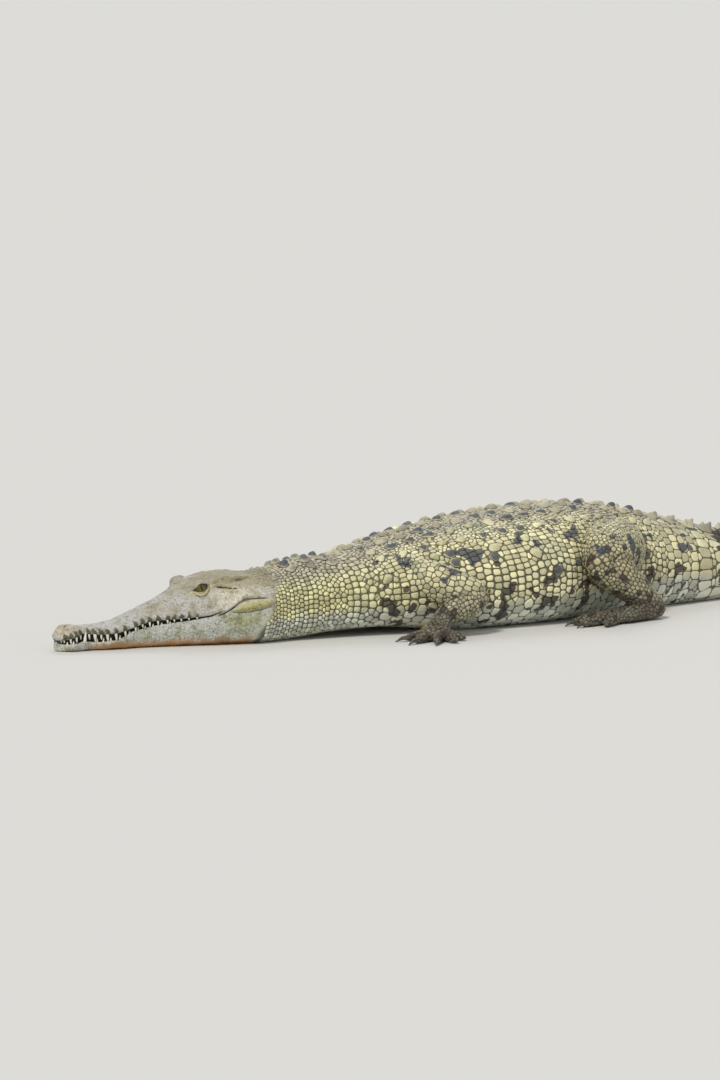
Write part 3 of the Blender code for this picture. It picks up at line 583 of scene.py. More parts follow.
def padCoords(s, z):
    # offset along the pad as a share of its half, offset over its middle line, and its height there
    padS, padZ = sculpt["padAt"]
    offS = (s - padS) / sculpt["padHalf"][0]
    return offS, z - padZ - sculpt["padTilt"] * (s - padS), np.clip(1 - offS ** 2, 0, 1) ** 0.6


def earCoords(s, z):
    # offset along the slot of the ear as a share of its half, and over it
    earS, earZ = sculpt["earAt"]
    return (s - earS) / sculpt["earHalf"][0], z - (earZ + sculpt["earTilt"] * (s - earS))


def grooveCoords(s, z):
    grooveS, grooveZ = sculpt["browGroove"]
    return s - grooveS, z - grooveZ - sculpt["grooveTilt"] * (s - grooveS)


def shapeHead(points, normals):
    # how far each point of the head moves along its normal, and how far towards the middle in a fold
    s, side, z = points.T
    across = np.abs(side)
    mouthZ = headAt["mouthHeight"](s)
    up = np.zeros(len(points))
    inward = np.zeros(len(points))
    gape = headAt["mouthOpen"](s) / 2
    for upper, sign in ((True, 1), (False, -1)):
        for toothAt, length in toothPlaces(upper):
            size = sculpt["festoon"] * (length / teeth["usual"]) ** 0.5
            fromLip = sign * (z - mouthZ) - gape
            up += size * bump(s - toothAt, 0.0052) * bump(fromLip - 0.0030, 0.0042) * (fromLip > -0.001)
    # ridges from the eyes towards the snout, sharp edges of the skull table
    ridgeSide = np.interp(s, *sculpt["ridgeSide"])
    onTop = smoothStep(0.3, 0.8, normals[:, 2])
    along = within(s, *sculpt["ridgeSpan"])
    up += sculpt["ridgeHeight"] * along * bump(across - ridgeSide, sculpt["ridgeHalf"]) * onTop
    for middle, reach, half, rise in sculpt["midline"]:
        up += rise * bump(s - middle, reach) * bump(side, half) * onTop
    onTable = within(s, *sculpt["tableSpan"])
    up += sculpt["tableEdge"] * onTable * bump(across - headAt["rimSide"](s), sculpt["ridgeHalf"])
    # pad of skin behind the corner of the mouth, between two folds
    offS, offZ, shape = padCoords(s, z)
    fromMiddle = offZ / np.maximum(sculpt["padHalf"][1] * shape, 1e-4)
    onSide = (across > 0.05) & (shape > 0)
    up += np.where(onSide, sculpt["padHeight"] * bump(fromMiddle, 0.75) * shape ** 0.5, 0)
    fold = bump(np.abs(fromMiddle) - 1.15, 0.26) * shape ** 0.4
    inward += np.where(onSide, sculpt["padFold"] * fold, 0)
    # the fold from the corner of the mouth over the pad, and the lip of skin above it
    onFlank = across > 0.03
    folded = within(s, *sculpt["foldSpan"]) * onFlank
    inward += sculpt["foldDepth"] * folded * bump(z - foldAt(s), sculpt["foldWidth"])
    above, wide, rise = sculpt["foldLip"]
    up += rise * folded * bump(z - foldAt(s) - above, wide)
    for middle, reach, height, reachZ, rise, leastSide in sculpt["muscles"]:
        up += rise * bump(s - middle, reach) * bump(z - height, reachZ) * (across > leastSide)
    # slot of the ear under the edge of the skull table
    offS, fromSlot = earCoords(s, z)
    inSlot = 1 - smoothStep(0.60, 1.20, np.abs(offS))
    inward += sculpt["earDepth"] * inSlot * bump(fromSlot, sculpt["earHalf"][1] * 1.4) * onFlank
    above, wide, rise = sculpt["earLip"]
    up += rise * inSlot * bump(fromSlot - above, wide) * onFlank
    # the groove over it, and the bony bar between the two
    offS, fromGroove = grooveCoords(s, z)
    halfS, halfZ = sculpt["grooveHalf"]
    inward += sculpt["grooveDepth"] * bump(offS, halfS) * bump(fromGroove, halfZ) * onFlank
    behind, reach, under, wide, rise = sculpt["bar"]
    up += rise * bump(offS + behind, reach) * bump(fromGroove + under, wide) * onFlank
    # nostrils: a raised rim round each slit
    rimAt, rimWidth, rimRise = sculpt["nostrilRim"]
    halfS, halfSide = sculpt["nostrilHalf"]
    nostril = np.array(sculpt["nostrilAt"])
    for mirror in (1, -1):
        fromIt = np.linalg.norm((points - nostril * (1, mirror, 1)) * (1, 1, 0.5), axis=1)
        up += rimRise * bump(fromIt - rimAt, rimWidth)
        offS = (s - nostril[0]) * 0.80 + (side - mirror * nostril[1]) * mirror * 0.6
        offSide = -(s - nostril[0]) * mirror * 0.6 + (side - mirror * nostril[1]) * 0.80
        slit = np.sqrt((offS / halfS) ** 2 + (offSide / halfSide) ** 2)
        up -= sculpt["nostrilDepth"] * (1 - smoothStep(0.35, 1.25, slit)) * (z > 0.036)
    quiet = 1 - 0.7 * bump(z - mouthZ, 0.008)
    for rise, size, seed in sculpt["hummocks"]:
        up += rise * grain(points, size, seed) * quiet
    return up, inward


def fromSpine(points, s):
    # how far each point lies ahead of its place on the spine, and to its side
    off = points - place(s, 0.0, 0.0)
    turn = heading(s)
    ahead = np.cos(turn) * off[:, 0] + np.sin(turn) * off[:, 1]
    return ahead, np.sin(turn) * off[:, 0] - np.cos(turn) * off[:, 1]


def spineCoords(points):
    # (s, side, around) with around 0 on the back and 1 under the belly
    skip, batch = 4, 20000
    coarse = spineS[::skip]
    x, y = spineX[::skip] + originShift[0], spineY[::skip] + originShift[1]
    s = np.empty(len(points))
    for first in range(0, len(points), batch):
        part = points[first:first + batch]
        away = (part[:, 0:1] - x) ** 2 + (part[:, 1:2] - y) ** 2
        s[first:first + batch] = coarse[np.argmin(away, axis=1)]
    for _ in range(2):
        ahead, _ = fromSpine(points, s)
        s = np.clip(s + ahead, 0, spine["length"])
    _, side = fromSpine(points, s)
    around = 0.5 - np.arctan2(points[:, 2] - bodyAt["widestHeight"](s), np.abs(side)) / math.pi
    return s, side, around


wrinkles = {
    # (s, its reach, place around, its reach, strength): over the shoulder, before the thigh, behind the jaw
    "at": ((0.60, 0.07, 0.40, 0.15, 1.0), (1.00, 0.07, 0.40, 0.15, 1.0), (0.47, 0.05, 0.50, 0.14, 0.8)),
    "apart": 0.027,
    "width": 0.085,  # as a share of the distance between two
    "slant": 0.33,
    "turnsAt": 0.8,  # s where they start to slant the other way
    "wavy": 0.010,
    "depth": 0.0030,
    # how strongly the wrinkles are painted with shade
    "dark": 0.55,
}


def creases(points):
    # 1 along the wrinkles of loose hide
    s, _, around = spineCoords(points)
    where = sum(strength * bump(around - turn, reachTurn) * bump(s - middle, reach)
                for middle, reach, turn, reachTurn, strength in wrinkles["at"])
    way = np.where(s > wrinkles["turnsAt"], -1, 1)
    slanted = s + wrinkles["slant"] * (around - 0.4) * way + wrinkles["wavy"] * grain(points, 0.09, 6.3)
    apart = np.abs((slanted / wrinkles["apart"]) % 1 - 0.5)
    return np.clip(where, 0, 1) * bump(apart, wrinkles["width"])


def refineNear(bm, middles, reach, cuts):
    near = set()
    for vert in bm.verts:
        if any((vert.co - middle).length < reach for middle in middles):
            near.add(vert)
    edges = [edge for edge in bm.edges if edge.verts[0] in near and edge.verts[1] in near]
    made = bmesh.ops.subdivide_edges(bm, edges=edges, cuts=cuts, use_grid_fill=True)
    inner = [item for item in made["geom_inner"] if isinstance(item, bmesh.types.BMVert)]
    for _ in range(4):
        bmesh.ops.smooth_vert(bm, verts=inner, factor=0.5, use_axis_x=True, use_axis_y=True, use_axis_z=True)


def finishHead(skin):
    mesh = skin.data
    bm = bmesh.new()
    bm.from_mesh(mesh)
    earS, earZ = sculpt["earAt"]
    grooveS, grooveZ = sculpt["browGroove"]
    spots = {
        "eye": eyes["at"],
        "ear": (earS, float(headAt["rimSide"](earS)), earZ),
        "groove": (grooveS, float(headAt["rimSide"](grooveS)) + 0.004, grooveZ),
        "fold": sculpt["foldMiddle"],
        "nostril": sculpt["nostrilAt"],
    }
    for name, at in spots.items():
        middles = [Vector(fromHead(np.array(at) * (1, mirror, 1))) for mirror in (1, -1)]
        refineNear(bm, middles, *sculpt["fine"][name])
    bm.to_mesh(mesh)
    bm.free()
    mesh.update()
    points, normals = pointsOf(mesh), pointsOf(mesh, "normal")
    inHead = toHead(points)
    chosen = inHead[:, 0] < sculpt["ends"]
    own, facing = inHead[chosen], normals[chosen] @ headFrame.T
    up, inward = shapeHead(own, facing)
    up *= 1 - smoothStep(*sculpt["fadesOver"], own[:, 0])
    own = own + facing * up[:, None]
    own[:, 1] -= np.sign(own[:, 1]) * inward
    for mirror in (1, -1):
        own = shapeEye(own, mirror)
    own[:, 2] = np.maximum(own[:, 2], head["floorGap"])
    points[chosen] = fromHead(own)
    rest = ~chosen
    points[rest] -= normals[rest] * (wrinkles["depth"] * creases(points[rest]))[:, None]
    setPoints(mesh, points)


limbs = {
    # rows of (s, side, z, half width, half height) for each length of limb, left side
    "upperArm": (
        (0.652, 0.060, 0.098, 0.036, 0.036), (0.668, 0.104, 0.097, 0.036, 0.037),
        (0.700, 0.148, 0.086, 0.032, 0.034), (0.730, 0.181, 0.070, 0.027, 0.029),
        (0.744, 0.193, 0.062, 0.015, 0.016),
    ),
    "forearm": (
        (0.736, 0.186, 0.064, 0.020, 0.021), (0.712, 0.187, 0.058, 0.026, 0.026),
        (0.680, 0.184, 0.045, 0.023, 0.022), (0.655, 0.181, 0.031, 0.019, 0.016),
    ),
    "palm": (
        (0.671, 0.178, 0.034, 0.014, 0.011), (0.653, 0.185, 0.026, 0.020, 0.015),
        (0.631, 0.197, 0.014, 0.030, 0.014), (0.615, 0.207, 0.010, 0.022, 0.010),
    ),
    "thigh": (
        (1.158, 0.050, 0.112, 0.062, 0.060), (1.120, 0.100, 0.118, 0.062, 0.060),
        (1.075, 0.142, 0.119, 0.056, 0.056), (1.034, 0.178, 0.114, 0.046, 0.050),
        (1.008, 0.198, 0.106, 0.024, 0.029),
    ),
    "shank": (
        (1.026, 0.184, 0.108, 0.032, 0.034), (1.050, 0.192, 0.088, 0.038, 0.037),
        (1.086, 0.198, 0.060, 0.033, 0.030), (1.114, 0.202, 0.040, 0.025, 0.023),
        (1.134, 0.205, 0.027, 0.020, 0.019),
    ),
    "sole": (
        (1.148, 0.204, 0.016, 0.012, 0.013), (1.130, 0.204, 0.020, 0.021, 0.020),
        (1.092, 0.203, 0.016, 0.027, 0.017), (1.050, 0.202, 0.012, 0.036, 0.013),
        (1.030, 0.201, 0.009, 0.034, 0.009),
    ),
    "coat": 0.0012,
    "sides": 28,
    "rowSteps": 7,
    "voxel": 0.0034,
    "smoothing": 6,
    "rightShift": {"arm": -0.020, "leg": 0.026},  # how far behind the left ones the right limbs lie
    "arm": ("upperArm", "forearm", "palm"),
    "leg": ("thigh", "shank", "sole"),
    # where the corners between limbs and trunk are rounded off: reach, s from the box's front, side, height
    "cornerReach": 0.016,
    "cornerSpan": (0.6, 1.24),
    "cornerSide": 0.06,
    "cornerAbove": 0.012,
    "cornerSmoothing": 14,
}

digits = {
    "hand": {
        "root": (0.638, 0.194),
        "tips": ((0.581, 0.182), (0.572, 0.222), (0.593, 0.252), (0.627, 0.261), (0.662, 0.241)),
        "radius": 0.0098,
    },
    "foot": {
        "root": (1.066, 0.201),
        "tips": ((0.986, 0.166), (0.952, 0.192), (0.950, 0.222), (0.980, 0.248)),
        "radius": 0.0112,
    },
    # (share of the way to the tip, height and thickness as shares of the radius)
    "shape": ((0.10, 0.86, 0.80), (0.38, 0.90, 1.0), (0.62, 1.0, 1.0), (0.85, 0.74, 0.87), (1.0, 0.55, 0.60)),
    "knuckles": (0.42, 0.68, 0.90),
    "knuckleRise": 0.10,
    "rows": 15,
    "clawed": 3,
}


def fineRows(rows, steps):
    # the same limb through more rows
    rows = np.array(rows, float)
    at = np.arange(len(rows), dtype=float)
    wanted = np.linspace(0, len(rows) - 1, (len(rows) - 1) * steps + 1)
    return np.stack([through(list(zip(at, column)))(wanted) for column in rows.T], -1)


def framesAlong(middles):
    ahead = unit(np.gradient(middles, axis=0))
    across = unit(np.cross(ahead, (0.0, 0.0, 1.0)))
    return ahead, across, unit(np.cross(across, ahead))


def tubeFrames(rows, mirror, shift):
    # middle, way ahead, way across and way up of each ring
    middles = place(rows[:, 0] + shift, mirror * rows[:, 1], rows[:, 2])
    return middles, *framesAlong(middles)


def tubeMesh(name, tubes):
    # closed tubes; each is a list of rings of points
    bm = bmesh.new()
    for tube in tubes:
        made = [[bm.verts.new(point) for point in ring] for ring in tube]
        for near, far in zip(made, made[1:]):
            for k in range(len(near)):
                after = (k + 1) % len(near)
                bm.faces.new((near[k], near[after], far[after], far[k]))
        bm.faces.new(made[0][::-1])
        bm.faces.new(made[-1])
    bmesh.ops.recalc_face_normals(bm, faces=bm.faces)
    mesh = bpy.data.meshes.new(name)
    bm.to_mesh(mesh)
    bm.free()
    mesh.shade_smooth()
    return mesh


def ringOf(middle, across, rise, wide, high, sides):
    turns = np.linspace(0, 2 * math.pi, sides, endpoint=False)
    return middle + np.outer(np.cos(turns) * wide, across) + np.outer(np.sin(turns) * high, rise)


def tubeRings(rows, mirror, shift, sides):
    middles, ahead, across, rise = tubeFrames(rows, mirror, shift)
    caps = ((0.5, 0.866), (0.866, 0.5))  # (distance out, size) of the rings that round off an end
    rings = []
    order = [(0, -out, size) for out, size in caps[::-1]] + [(k, 0.0, 1.0) for k in range(len(rows))]
    order += [(len(rows) - 1, out, size) for out, size in caps]
    for k, out, size in order:
        wide, high = rows[k, 3] * size, rows[k, 4] * size
        middle = middles[k] + ahead[k] * out * min(rows[k, 3], rows[k, 4]) * 0.6
        rings.append(ringOf(middle, across[k], rise[k], wide, high, sides))
    return rings


def digitRows(root, tip, radius):
    height = through([(share, high) for share, high, thick in digits["shape"]])
    thickness = through([(share, thick) for share, high, thick in digits["shape"]])
    shares = np.linspace(digits["shape"][0][0], 1.0, digits["rows"])
    knuckle = sum(bump(shares - at, 0.07) for at in digits["knuckles"]) * digits["knuckleRise"]
    thick = thickness(shares) * (0.93 + knuckle) * radius
    return np.stack([
        root[0] + shares * (tip[0] - root[0]),
        root[1] + shares * (tip[1] - root[1]),
        (height(shares) + 0.5 * knuckle) * radius,
        thick,
        thick,
    ], -1)


def limbParts():
    # (kind, rows, mirror, shift) of every length of limb
    found = []
    for mirror in (1, -1):
        shifts = {limb: shift if mirror < 0 else 0.0 for limb, shift in limbs["rightShift"].items()}
        for limb, shift in shifts.items():
            for kind in limbs[limb]:
                found.append((kind, fineRows(limbs[kind], limbs["rowSteps"]), mirror, shift))
        for kind, shift in zip(("hand", "foot"), shifts.values()):
            own = digits[kind]
            for tip in own["tips"]:
                found.append((kind + "Digit", digitRows(own["root"], tip, own["radius"]), mirror, shift))
    return found


def addSmoothing(obj, times):
    smooth = obj.modifiers.new("smooth", "SMOOTH")
    smooth.factor = 0.5
    smooth.iterations = times
    return smooth


def buildLimbs(parts):
    thinner = np.array([0, 0, 0, limbs["coat"], limbs["coat"]])
    tubes = [tubeRings(rows - thinner, mirror, shift, limbs["sides"]) for _, rows, mirror, shift in parts]
    made = objectOf("limbs", tubeMesh("limbs", tubes))
    remesh = made.modifiers.new("remesh", "REMESH")
    remesh.mode = "VOXEL"
    remesh.voxel_size = limbs["voxel"]
    addSmoothing(made, limbs["smoothing"])
    applied(made)
    liftPoints(made.data, body["floorGap"])
    return made


def treeOf(mesh):
    return BVHTree.FromPolygons([v.co for v in mesh.vertices], [list(p.vertices) for p in mesh.polygons])


def joinLimbs(skin, limbSkin):
    torsoTree, limbTree = treeOf(skin.data), treeOf(limbSkin.data)
    union = skin.modifiers.new("limbs", "BOOLEAN")
    union.operation = "UNION"
    union.solver = "MANIFOLD"
    union.object = limbSkin
    applied(skin)
    bpy.data.objects.remove(limbSkin)
    softened = skin.vertex_groups.new(name="softened")
    reach = limbs["cornerReach"]
    first, last = limbs["cornerSpan"]
    for vert in skin.data.vertices:
        x, y, z = vert.co
        if first < x - cadLow.x < last and abs(y) > limbs["cornerSide"] and z > limbs["cornerAbove"]:
            fromTorso = torsoTree.find_nearest(vert.co, reach)[3]
            fromLimb = limbTree.find_nearest(vert.co, reach)[3]
            if fromTorso is not None and fromLimb is not None:
                softened.add([vert.index], 1 - max(fromTorso, fromLimb) / reach, "REPLACE")
    addSmoothing(skin, limbs["cornerSmoothing"]).vertex_group = softened.name
    applied(skin)
    skin.vertex_groups.clear()


def handOver(piece, slot, *nodes):
    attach(piece, "root")
    if nodes:
        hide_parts(*nodes)


print("torso")
skin = buildTorso()
print("head")
finishHead(skin)
print("limbs")
parts = limbParts()
joinLimbs(skin, buildLimbs(parts))
skin.data.shade_smooth()
skin.data.calc_loop_triangles()
print("skin", len(skin.data.loop_triangles), "triangles")
fleshNodes = [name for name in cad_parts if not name.startswith(("eye_", "claw_"))]
handOver(skin, "body_hide", *fleshNodes)


# every kind has its own size and form; half sizes and rises are in metres, rings are shares of the way out
kinds = {
    "scute": {"sides": 20, "rings": ((1.0, -0.3), (0.94, 0.45), (0.82, 0.85), (0.60, 1.0), (0.38, 1.0),
                                     (0.17, 1.0)),
              "corner": 2.5, "gap": 0.0009, "cap": 1.16},
    "crest": {"sides": 20, "rings": ((1.0, -0.3), (0.92, 0.35), (0.76, 0.80), (0.52, 1.0), (0.28, 1.0)),
              "corner": 2.4, "gap": 0.0009, "cap": 1.2},
    "round": {"sides": 14, "rings": ((1.0, -0.3), (0.90, 0.50), (0.70, 0.90), (0.38, 1.0)),
              "corner": 2.9, "gap": 0.0008, "cap": 1.34},
    "plate": {"sides": 16, "rings": ((1.0, -0.3), (0.94, 0.55), (0.80, 0.92), (0.42, 1.0)),
              "corner": 5.5, "gap": 0.0007, "cap": 1.34},
    "bead": {"sides": 10, "rings": ((1.0, -0.3), (0.86, 0.55), (0.52, 0.95)),
             "corner": 2.6, "gap": 0.0006, "cap": 1.30},
    "thin": {"sides": 10, "rings": ((1.0, -0.5), (0.88, 0.70), (0.50, 1.0)),
             "corner": 3.0, "gap": 0.0004, "cap": 1.2},
}

rows = {
    "napeRows": 3,
    "nape": (0.428, 0.542),
    # (side as a share of the half width, size, size in the last row, keel) of the nape's plates on one side
    "napePlates": ((0.17, 0.150, 0.150, 0.0078), (0.46, 0.130, 0.100, 0.0058)),
    "firstPlates": 0.408,  # s of the small plates in front of them
    "trunkRows": 16,
    "tailRows": 32,
    "lastTailRow": 0.9,
    "crestShare": 0.64,
    # (side as a share of the half width, half width, half length, share of the keel) of the back's rows
    "keeled": ((0.15, 0.098, 0.46, 0.95), (0.37, 0.088, 0.43, 0.85), (0.60, 0.068, 0.37, 0.75)),
    "scattered": ((0.320, 0.50), (0.385, 0.55), (0.450, 0.40)),  # (share of the way round, odds)
    "bellyFrom": 0.70,  # share of the way round
    "keelHeight": ((0.40, 0.004), (0.44, 0.0080), (0.52, 0.0080), (0.55, 0.003), (0.60, 0.0045),
                   (0.70, 0.0060), (1.10, 0.0062), (1.20, 0.0080), (1.30, 0.012)),
    "crestHeight": ((1.25, 0.010), (1.36, 0.014), (1.60, 0.028), (1.80, 0.035), (1.98, 0.040), (2.20, 0.034),
                    (2.40, 0.026), (2.55, 0.017), (2.62, 0.004)),
    "crestSide": ((1.25, 0.030), (1.60, 0.022), (1.90, 0.012), (1.98, 0.003), (2.62, 0.001)),
    "crestJoins": 1.97,
    "crestLean": 0.28,
    # (s, distance between rows of small scales)
    "neckPitch": ((0.376, 0.0070), (0.45, 0.0087), (0.52, 0.0108), (0.585, 0.0150)),
    "neckWidth": 0.95,  # usual width over the distance between rows
    # (share of the way round where a zone ends, width over the usual one, rise, kind)
    "neckZones": ((0.60, 1.0, 0.0017, "bead"), (0.66, 1.25, 0.0016, "round"), (2.0, 1.8, 0.0012, "plate")),
    "jawZones": ((0.60, 1.1, 0.0007, "bead"), (2.0, 1.3, 0.0006, "thin")),
    "jitter": 0.060,
    "uneven": 0.10,
    "slope": 0.22,  # how much a scale rises towards its rear
    "sharpness": 11,  # of the corners between neighbours
    "crowding": (0.80, 0.60),  # how near a big and a small scale let others come
    "floorGap": 0.0002,
    "mapPatch": 0.0015,  # how far a scale reaches on the map
    "darkOdds": 0.36,  # of the scattered keeled scales and of the rows on the back
}
keelHeight = through(rows["keelHeight"])
crestHeight = through(rows["crestHeight"])
crestSide = through(rows["crestSide"])

seeds = {name: [] for name in ("at", "along", "uv", "long", "wide", "rise", "kind", "group", "keel", "rank",
                               "dark")}


def addSeed(at, along, uv, halfLong, halfWide, rise, kind, group, keel=0.0, rank=1, dark=0.0):
    for name, value in zip(seeds, (at, along, uv, halfLong, halfWide, rise, kind, group, keel, rank, dark)):
        seeds[name].append(value)


def darkness():
    # most keeled scales are as pale as their surroundings, some are blue-black
    return rng.uniform(0.7, 1.0) if rng.uniform() < rows["darkOdds"] else rng.uniform(0.0, 0.25)


def rowStarts(front, rear, count, lastOverFirst=1.0):
    sizes = np.linspace(1.0, lastOverFirst, count)
    return front + (rear - front) * np.concatenate([[0.0], np.cumsum(sizes) / sizes.sum()])


class RingLine:
    # the half section at s, which finds a place on it by the distance from the middle of the back
    def __init__(self, s):
        self.s = s
        self.half = bodyHalf(s) if s > head["joinsBody"][1] else ringHalf(s)
        self.arc = arcOf(self.half)
        self.length = self.arc[-1]
        self.wide = float(bodyAt["halfWidth"](s))
        turn = float(heading(s))
        self.along = np.array([math.cos(turn), math.sin(turn), 0.0])

    def at(self, reach, mirror, ds=0.0):
        side = np.interp(reach, self.arc, self.half[:, 0])
        z = np.interp(reach, self.arc, self.half[:, 1])
        return place(self.s + ds, mirror * side, z)

    def reachOf(self, side):
        top = int(np.argmax(self.half[:, 0])) + 1
        return float(np.interp(side, self.half[:top, 0], self.arc[:top]))

    def seed(self, reach, mirror, ds, *form, **more):
        uv = (0.02 + 0.96 * self.s / spine["length"], 0.5 + 0.47 * mirror * reach / self.length)
        addSeed(self.at(reach, mirror, ds), self.along, uv, *form, **more)


def sweepRow(line, pitch, zones, group, start, odd):
    # fills a row from start down to the middle of the belly; zones are (share of the way, width, rise, kind)
    for mirror in (1, -1):
        reach, first = start, True
        while True:
            share = reach / line.length
            width, rise, kind = next(zone[1:] for zone in zones if share <= zone[0])
            step = width * rng.uniform(0.88, 1.12)
            if first:
                step *= 0.5 + 0.5 * odd
                first = False
            reach += step / 2
            if reach > line.length - 0.2 * width:
                break
            line.seed(reach, mirror, rng.normal(0, rows["jitter"]) * pitch,
                      0.5 * pitch * rng.uniform(0.93, 1.07), 0.5 * width * rng.uniform(0.93, 1.07),
                      rise * rng.uniform(0.85, 1.15), kind, sideGroup(group, share, mirror))
            reach += step / 2


def sideGroup(group, share, mirror):
    if group != "Trunk":
        return group
    if share > rows["bellyFrom"]:
        return "Belly"
    return "TrunkLeft" if mirror > 0 else "TrunkRight"


def seedNeck():
    s, odd = rows["neckPitch"][0][0], 0
    pitchAt = through(rows["neckPitch"])
    while s < body["trunkStart"] - 0.006:
        pitch = float(pitchAt(s))
        width = pitch * rows["neckWidth"]
        zones = [(share, width * more, rise, kind)
                 for share, more, rise, kind in rows["jawZones" if s < head["end"] else "neckZones"]]
        sweepRow(RingLine(s), pitch, zones, "Neck", 0.0, odd)
        s += pitch
        odd = 1 - odd
    # the shield of the nape: two large plates a side in each row, and small ones in front of it
    starts = rowStarts(*rows["nape"], rows["napeRows"])
    for k, (front, rear) in enumerate(zip(starts, starts[1:])):
        line = RingLine((front + rear) / 2)
        for share, size, lastSize, keel in rows["napePlates"]:
            half = line.wide * (size if k < rows["napeRows"] - 1 else lastSize)
            for mirror in (1, -1):
                line.seed(line.reachOf(share * line.wide), mirror, 0.0, 0.5 * (rear - front), half, 0.0030,
                          "scute", "Back", keel=keel, rank=4, dark=0.50 + 0.4 * darkness())
    line = RingLine(rows["firstPlates"])
    for share in (0.13, 0.36, 0.60):
        for mirror in (1, -1):
            line.seed(line.reachOf(share * line.wide), mirror, 0.0, 0.0085, 0.0085, 0.0026, "scute", "Back",
                      keel=0.0026, rank=3, dark=0.48)


def trunkStretches(count):
    starts = rowStarts(body["trunkStart"], body["tailStart"], count)
    return list(zip(starts, starts[1:]))


def lowFrom(s):
    # share of the way round where the square plates of the lower flank start
    return 0.56 - 0.03 * float(bump(s - 1.15, 0.12))


def seedTrunk():
    for front, rear in trunkStretches(rows["trunkRows"]):
        size = rear - front
        line = RingLine((front + rear) / 2)
        keel = float(keelHeight(line.s))
        for share, halfWidth, halfLength, keelShare in rows["keeled"]:
            for mirror in (1, -1):
                reach = line.reachOf(share * line.wide) * rng.uniform(0.985, 1.015)
                half = halfWidth * line.wide * rng.uniform(0.9, 1.08)
                line.seed(reach, mirror, rng.normal(0, 0.03) * size, halfLength * size, half, 0.0024, "scute",
                          "Back", keel=keel * keelShare * rng.uniform(0.75, 1.2), rank=4, dark=darkness())
        for share, odds in rows["scattered"]:
            for mirror in (1, -1):
                if rng.uniform() < odds:
                    reach = line.length * (share + rng.uniform(-0.02, 0.02))
                    line.seed(reach, mirror, rng.uniform(-0.3, 0.3) * size, rng.uniform(0.0150, 0.0200),
                              rng.uniform(0.0088, 0.0118), 0.0024, "scute", "Back",
                              keel=rng.uniform(0.0034, 0.0056), rank=3, dark=darkness())
    for k, (front, rear) in enumerate(trunkStretches(2 * rows["trunkRows"])):
        line = RingLine((front + rear) / 2)
        zones = ((rows["bellyFrom"], 0.0215, 0.0019, "plate"), (2.0, 0.0250, 0.0014, "plate"))
        sweepRow(line, rear - front, zones, "Trunk", lowFrom(line.s) * line.length, k % 2)
    rest = (2.0, 9.0, 0.0, "bead")  # a step past the belly, so that the row ends
    for k, (front, rear) in enumerate(trunkStretches(3 * rows["trunkRows"] - 6)):
        line = RingLine((front + rear) / 2)
        start = line.reachOf((rows["keeled"][-1][0] + 0.060) * line.wide) / line.length
        size = 0.0104 + 0.0022 * float(smoothStep(0.58, 0.72, line.s))
        zones = ((start, 0.0085, 0.0012, "bead"), (0.42, size * 0.84, 0.0016, "round"),
                 (lowFrom(line.s), size, 0.0021, "round"), rest)
        sweepRow(line, rear - front, zones, "Trunk", 0.0, k % 2)
        # finer scales fill in between the keeled ones
        for part in (0.0, 0.5):
            own = RingLine(front + part * (rear - front))
            sweepRow(own, (rear - front) / 2, ((start, 0.0085, 0.0011, "bead"), rest), "Trunk", 0.0, k % 2)


def seedTail():
    starts = rowStarts(body["tailStart"], spine["length"], rows["tailRows"], rows["lastTailRow"])
    for k, (front, rear) in enumerate(zip(starts, starts[1:])):
        size = rear - front
        line = RingLine((front + rear) / 2)
        height = float(crestHeight(line.s))
        side = float(crestSide(line.s))
        joined = line.s > rows["crestJoins"]
        halfWide = min(0.010, 0.62 * line.wide) if joined else min(0.013, 0.42 * line.wide)
        for mirror in ((1,) if joined else (1, -1)):
            line.seed(0.0 if joined else line.reachOf(side), mirror, 0.0, 0.52 * size, halfWide, 0.0022,
                      "crest", "Crests", keel=height * rng.uniform(0.93, 1.04), rank=5, dark=0.30)
        if not joined and side > 0.012:
            line.seed(0.0, 1, 0.0, 0.46 * size, max(0.5 * side, 0.006), 0.0022, "scute", "Crests", keel=0.002,
                      rank=4)
        start = halfWide if joined else line.reachOf(min(side + halfWide, 0.8 * line.wide))
        scale = float(smoothStep(2.62, 1.25, line.s))
        small = float(1 - smoothStep(1.27, 1.40, line.s))
        width = 0.0085 + 0.0135 * scale
        zones = ((0.60, width * (1 - 0.30 * small), 0.0018, "plate"), (2.0, width * 1.15, 0.0013, "plate"))
        parts = (0.25, 0.75) if small > 0.5 else (0.5,)
        for part in parts:
            sweepRow(RingLine(front + part * size), size / len(parts), zones, "Tail", start, k % 2)


# (group, distance between rows, width of a scale, rise, form, how far down the limb for the markings)
limbScales = {
    "upperArm": ("Arms", 0.0130, 0.0110, 0.0014, "plate", 0.30),
    "forearm": ("Arms", 0.0088, 0.0082, 0.0011, "bead", 0.62),
    "palm": ("Arms", 0.0085, 0.0080, 0.0011, "bead", 1.0),
    "thigh": ("Legs", 0.0102, 0.0092, 0.0010, "bead", 0.36),
    "shank": ("Legs", 0.0092, 0.0084, 0.0010, "bead", 0.62),
    "sole": ("Legs", 0.0090, 0.0085, 0.0012, "bead", 1.0),
    "handDigit": ("Arms", 0.0070, 0.0095, 0.0010, "bead", 1.0),
    "footDigit": ("Legs", 0.0080, 0.0100, 0.0011, "bead", 1.0),
}


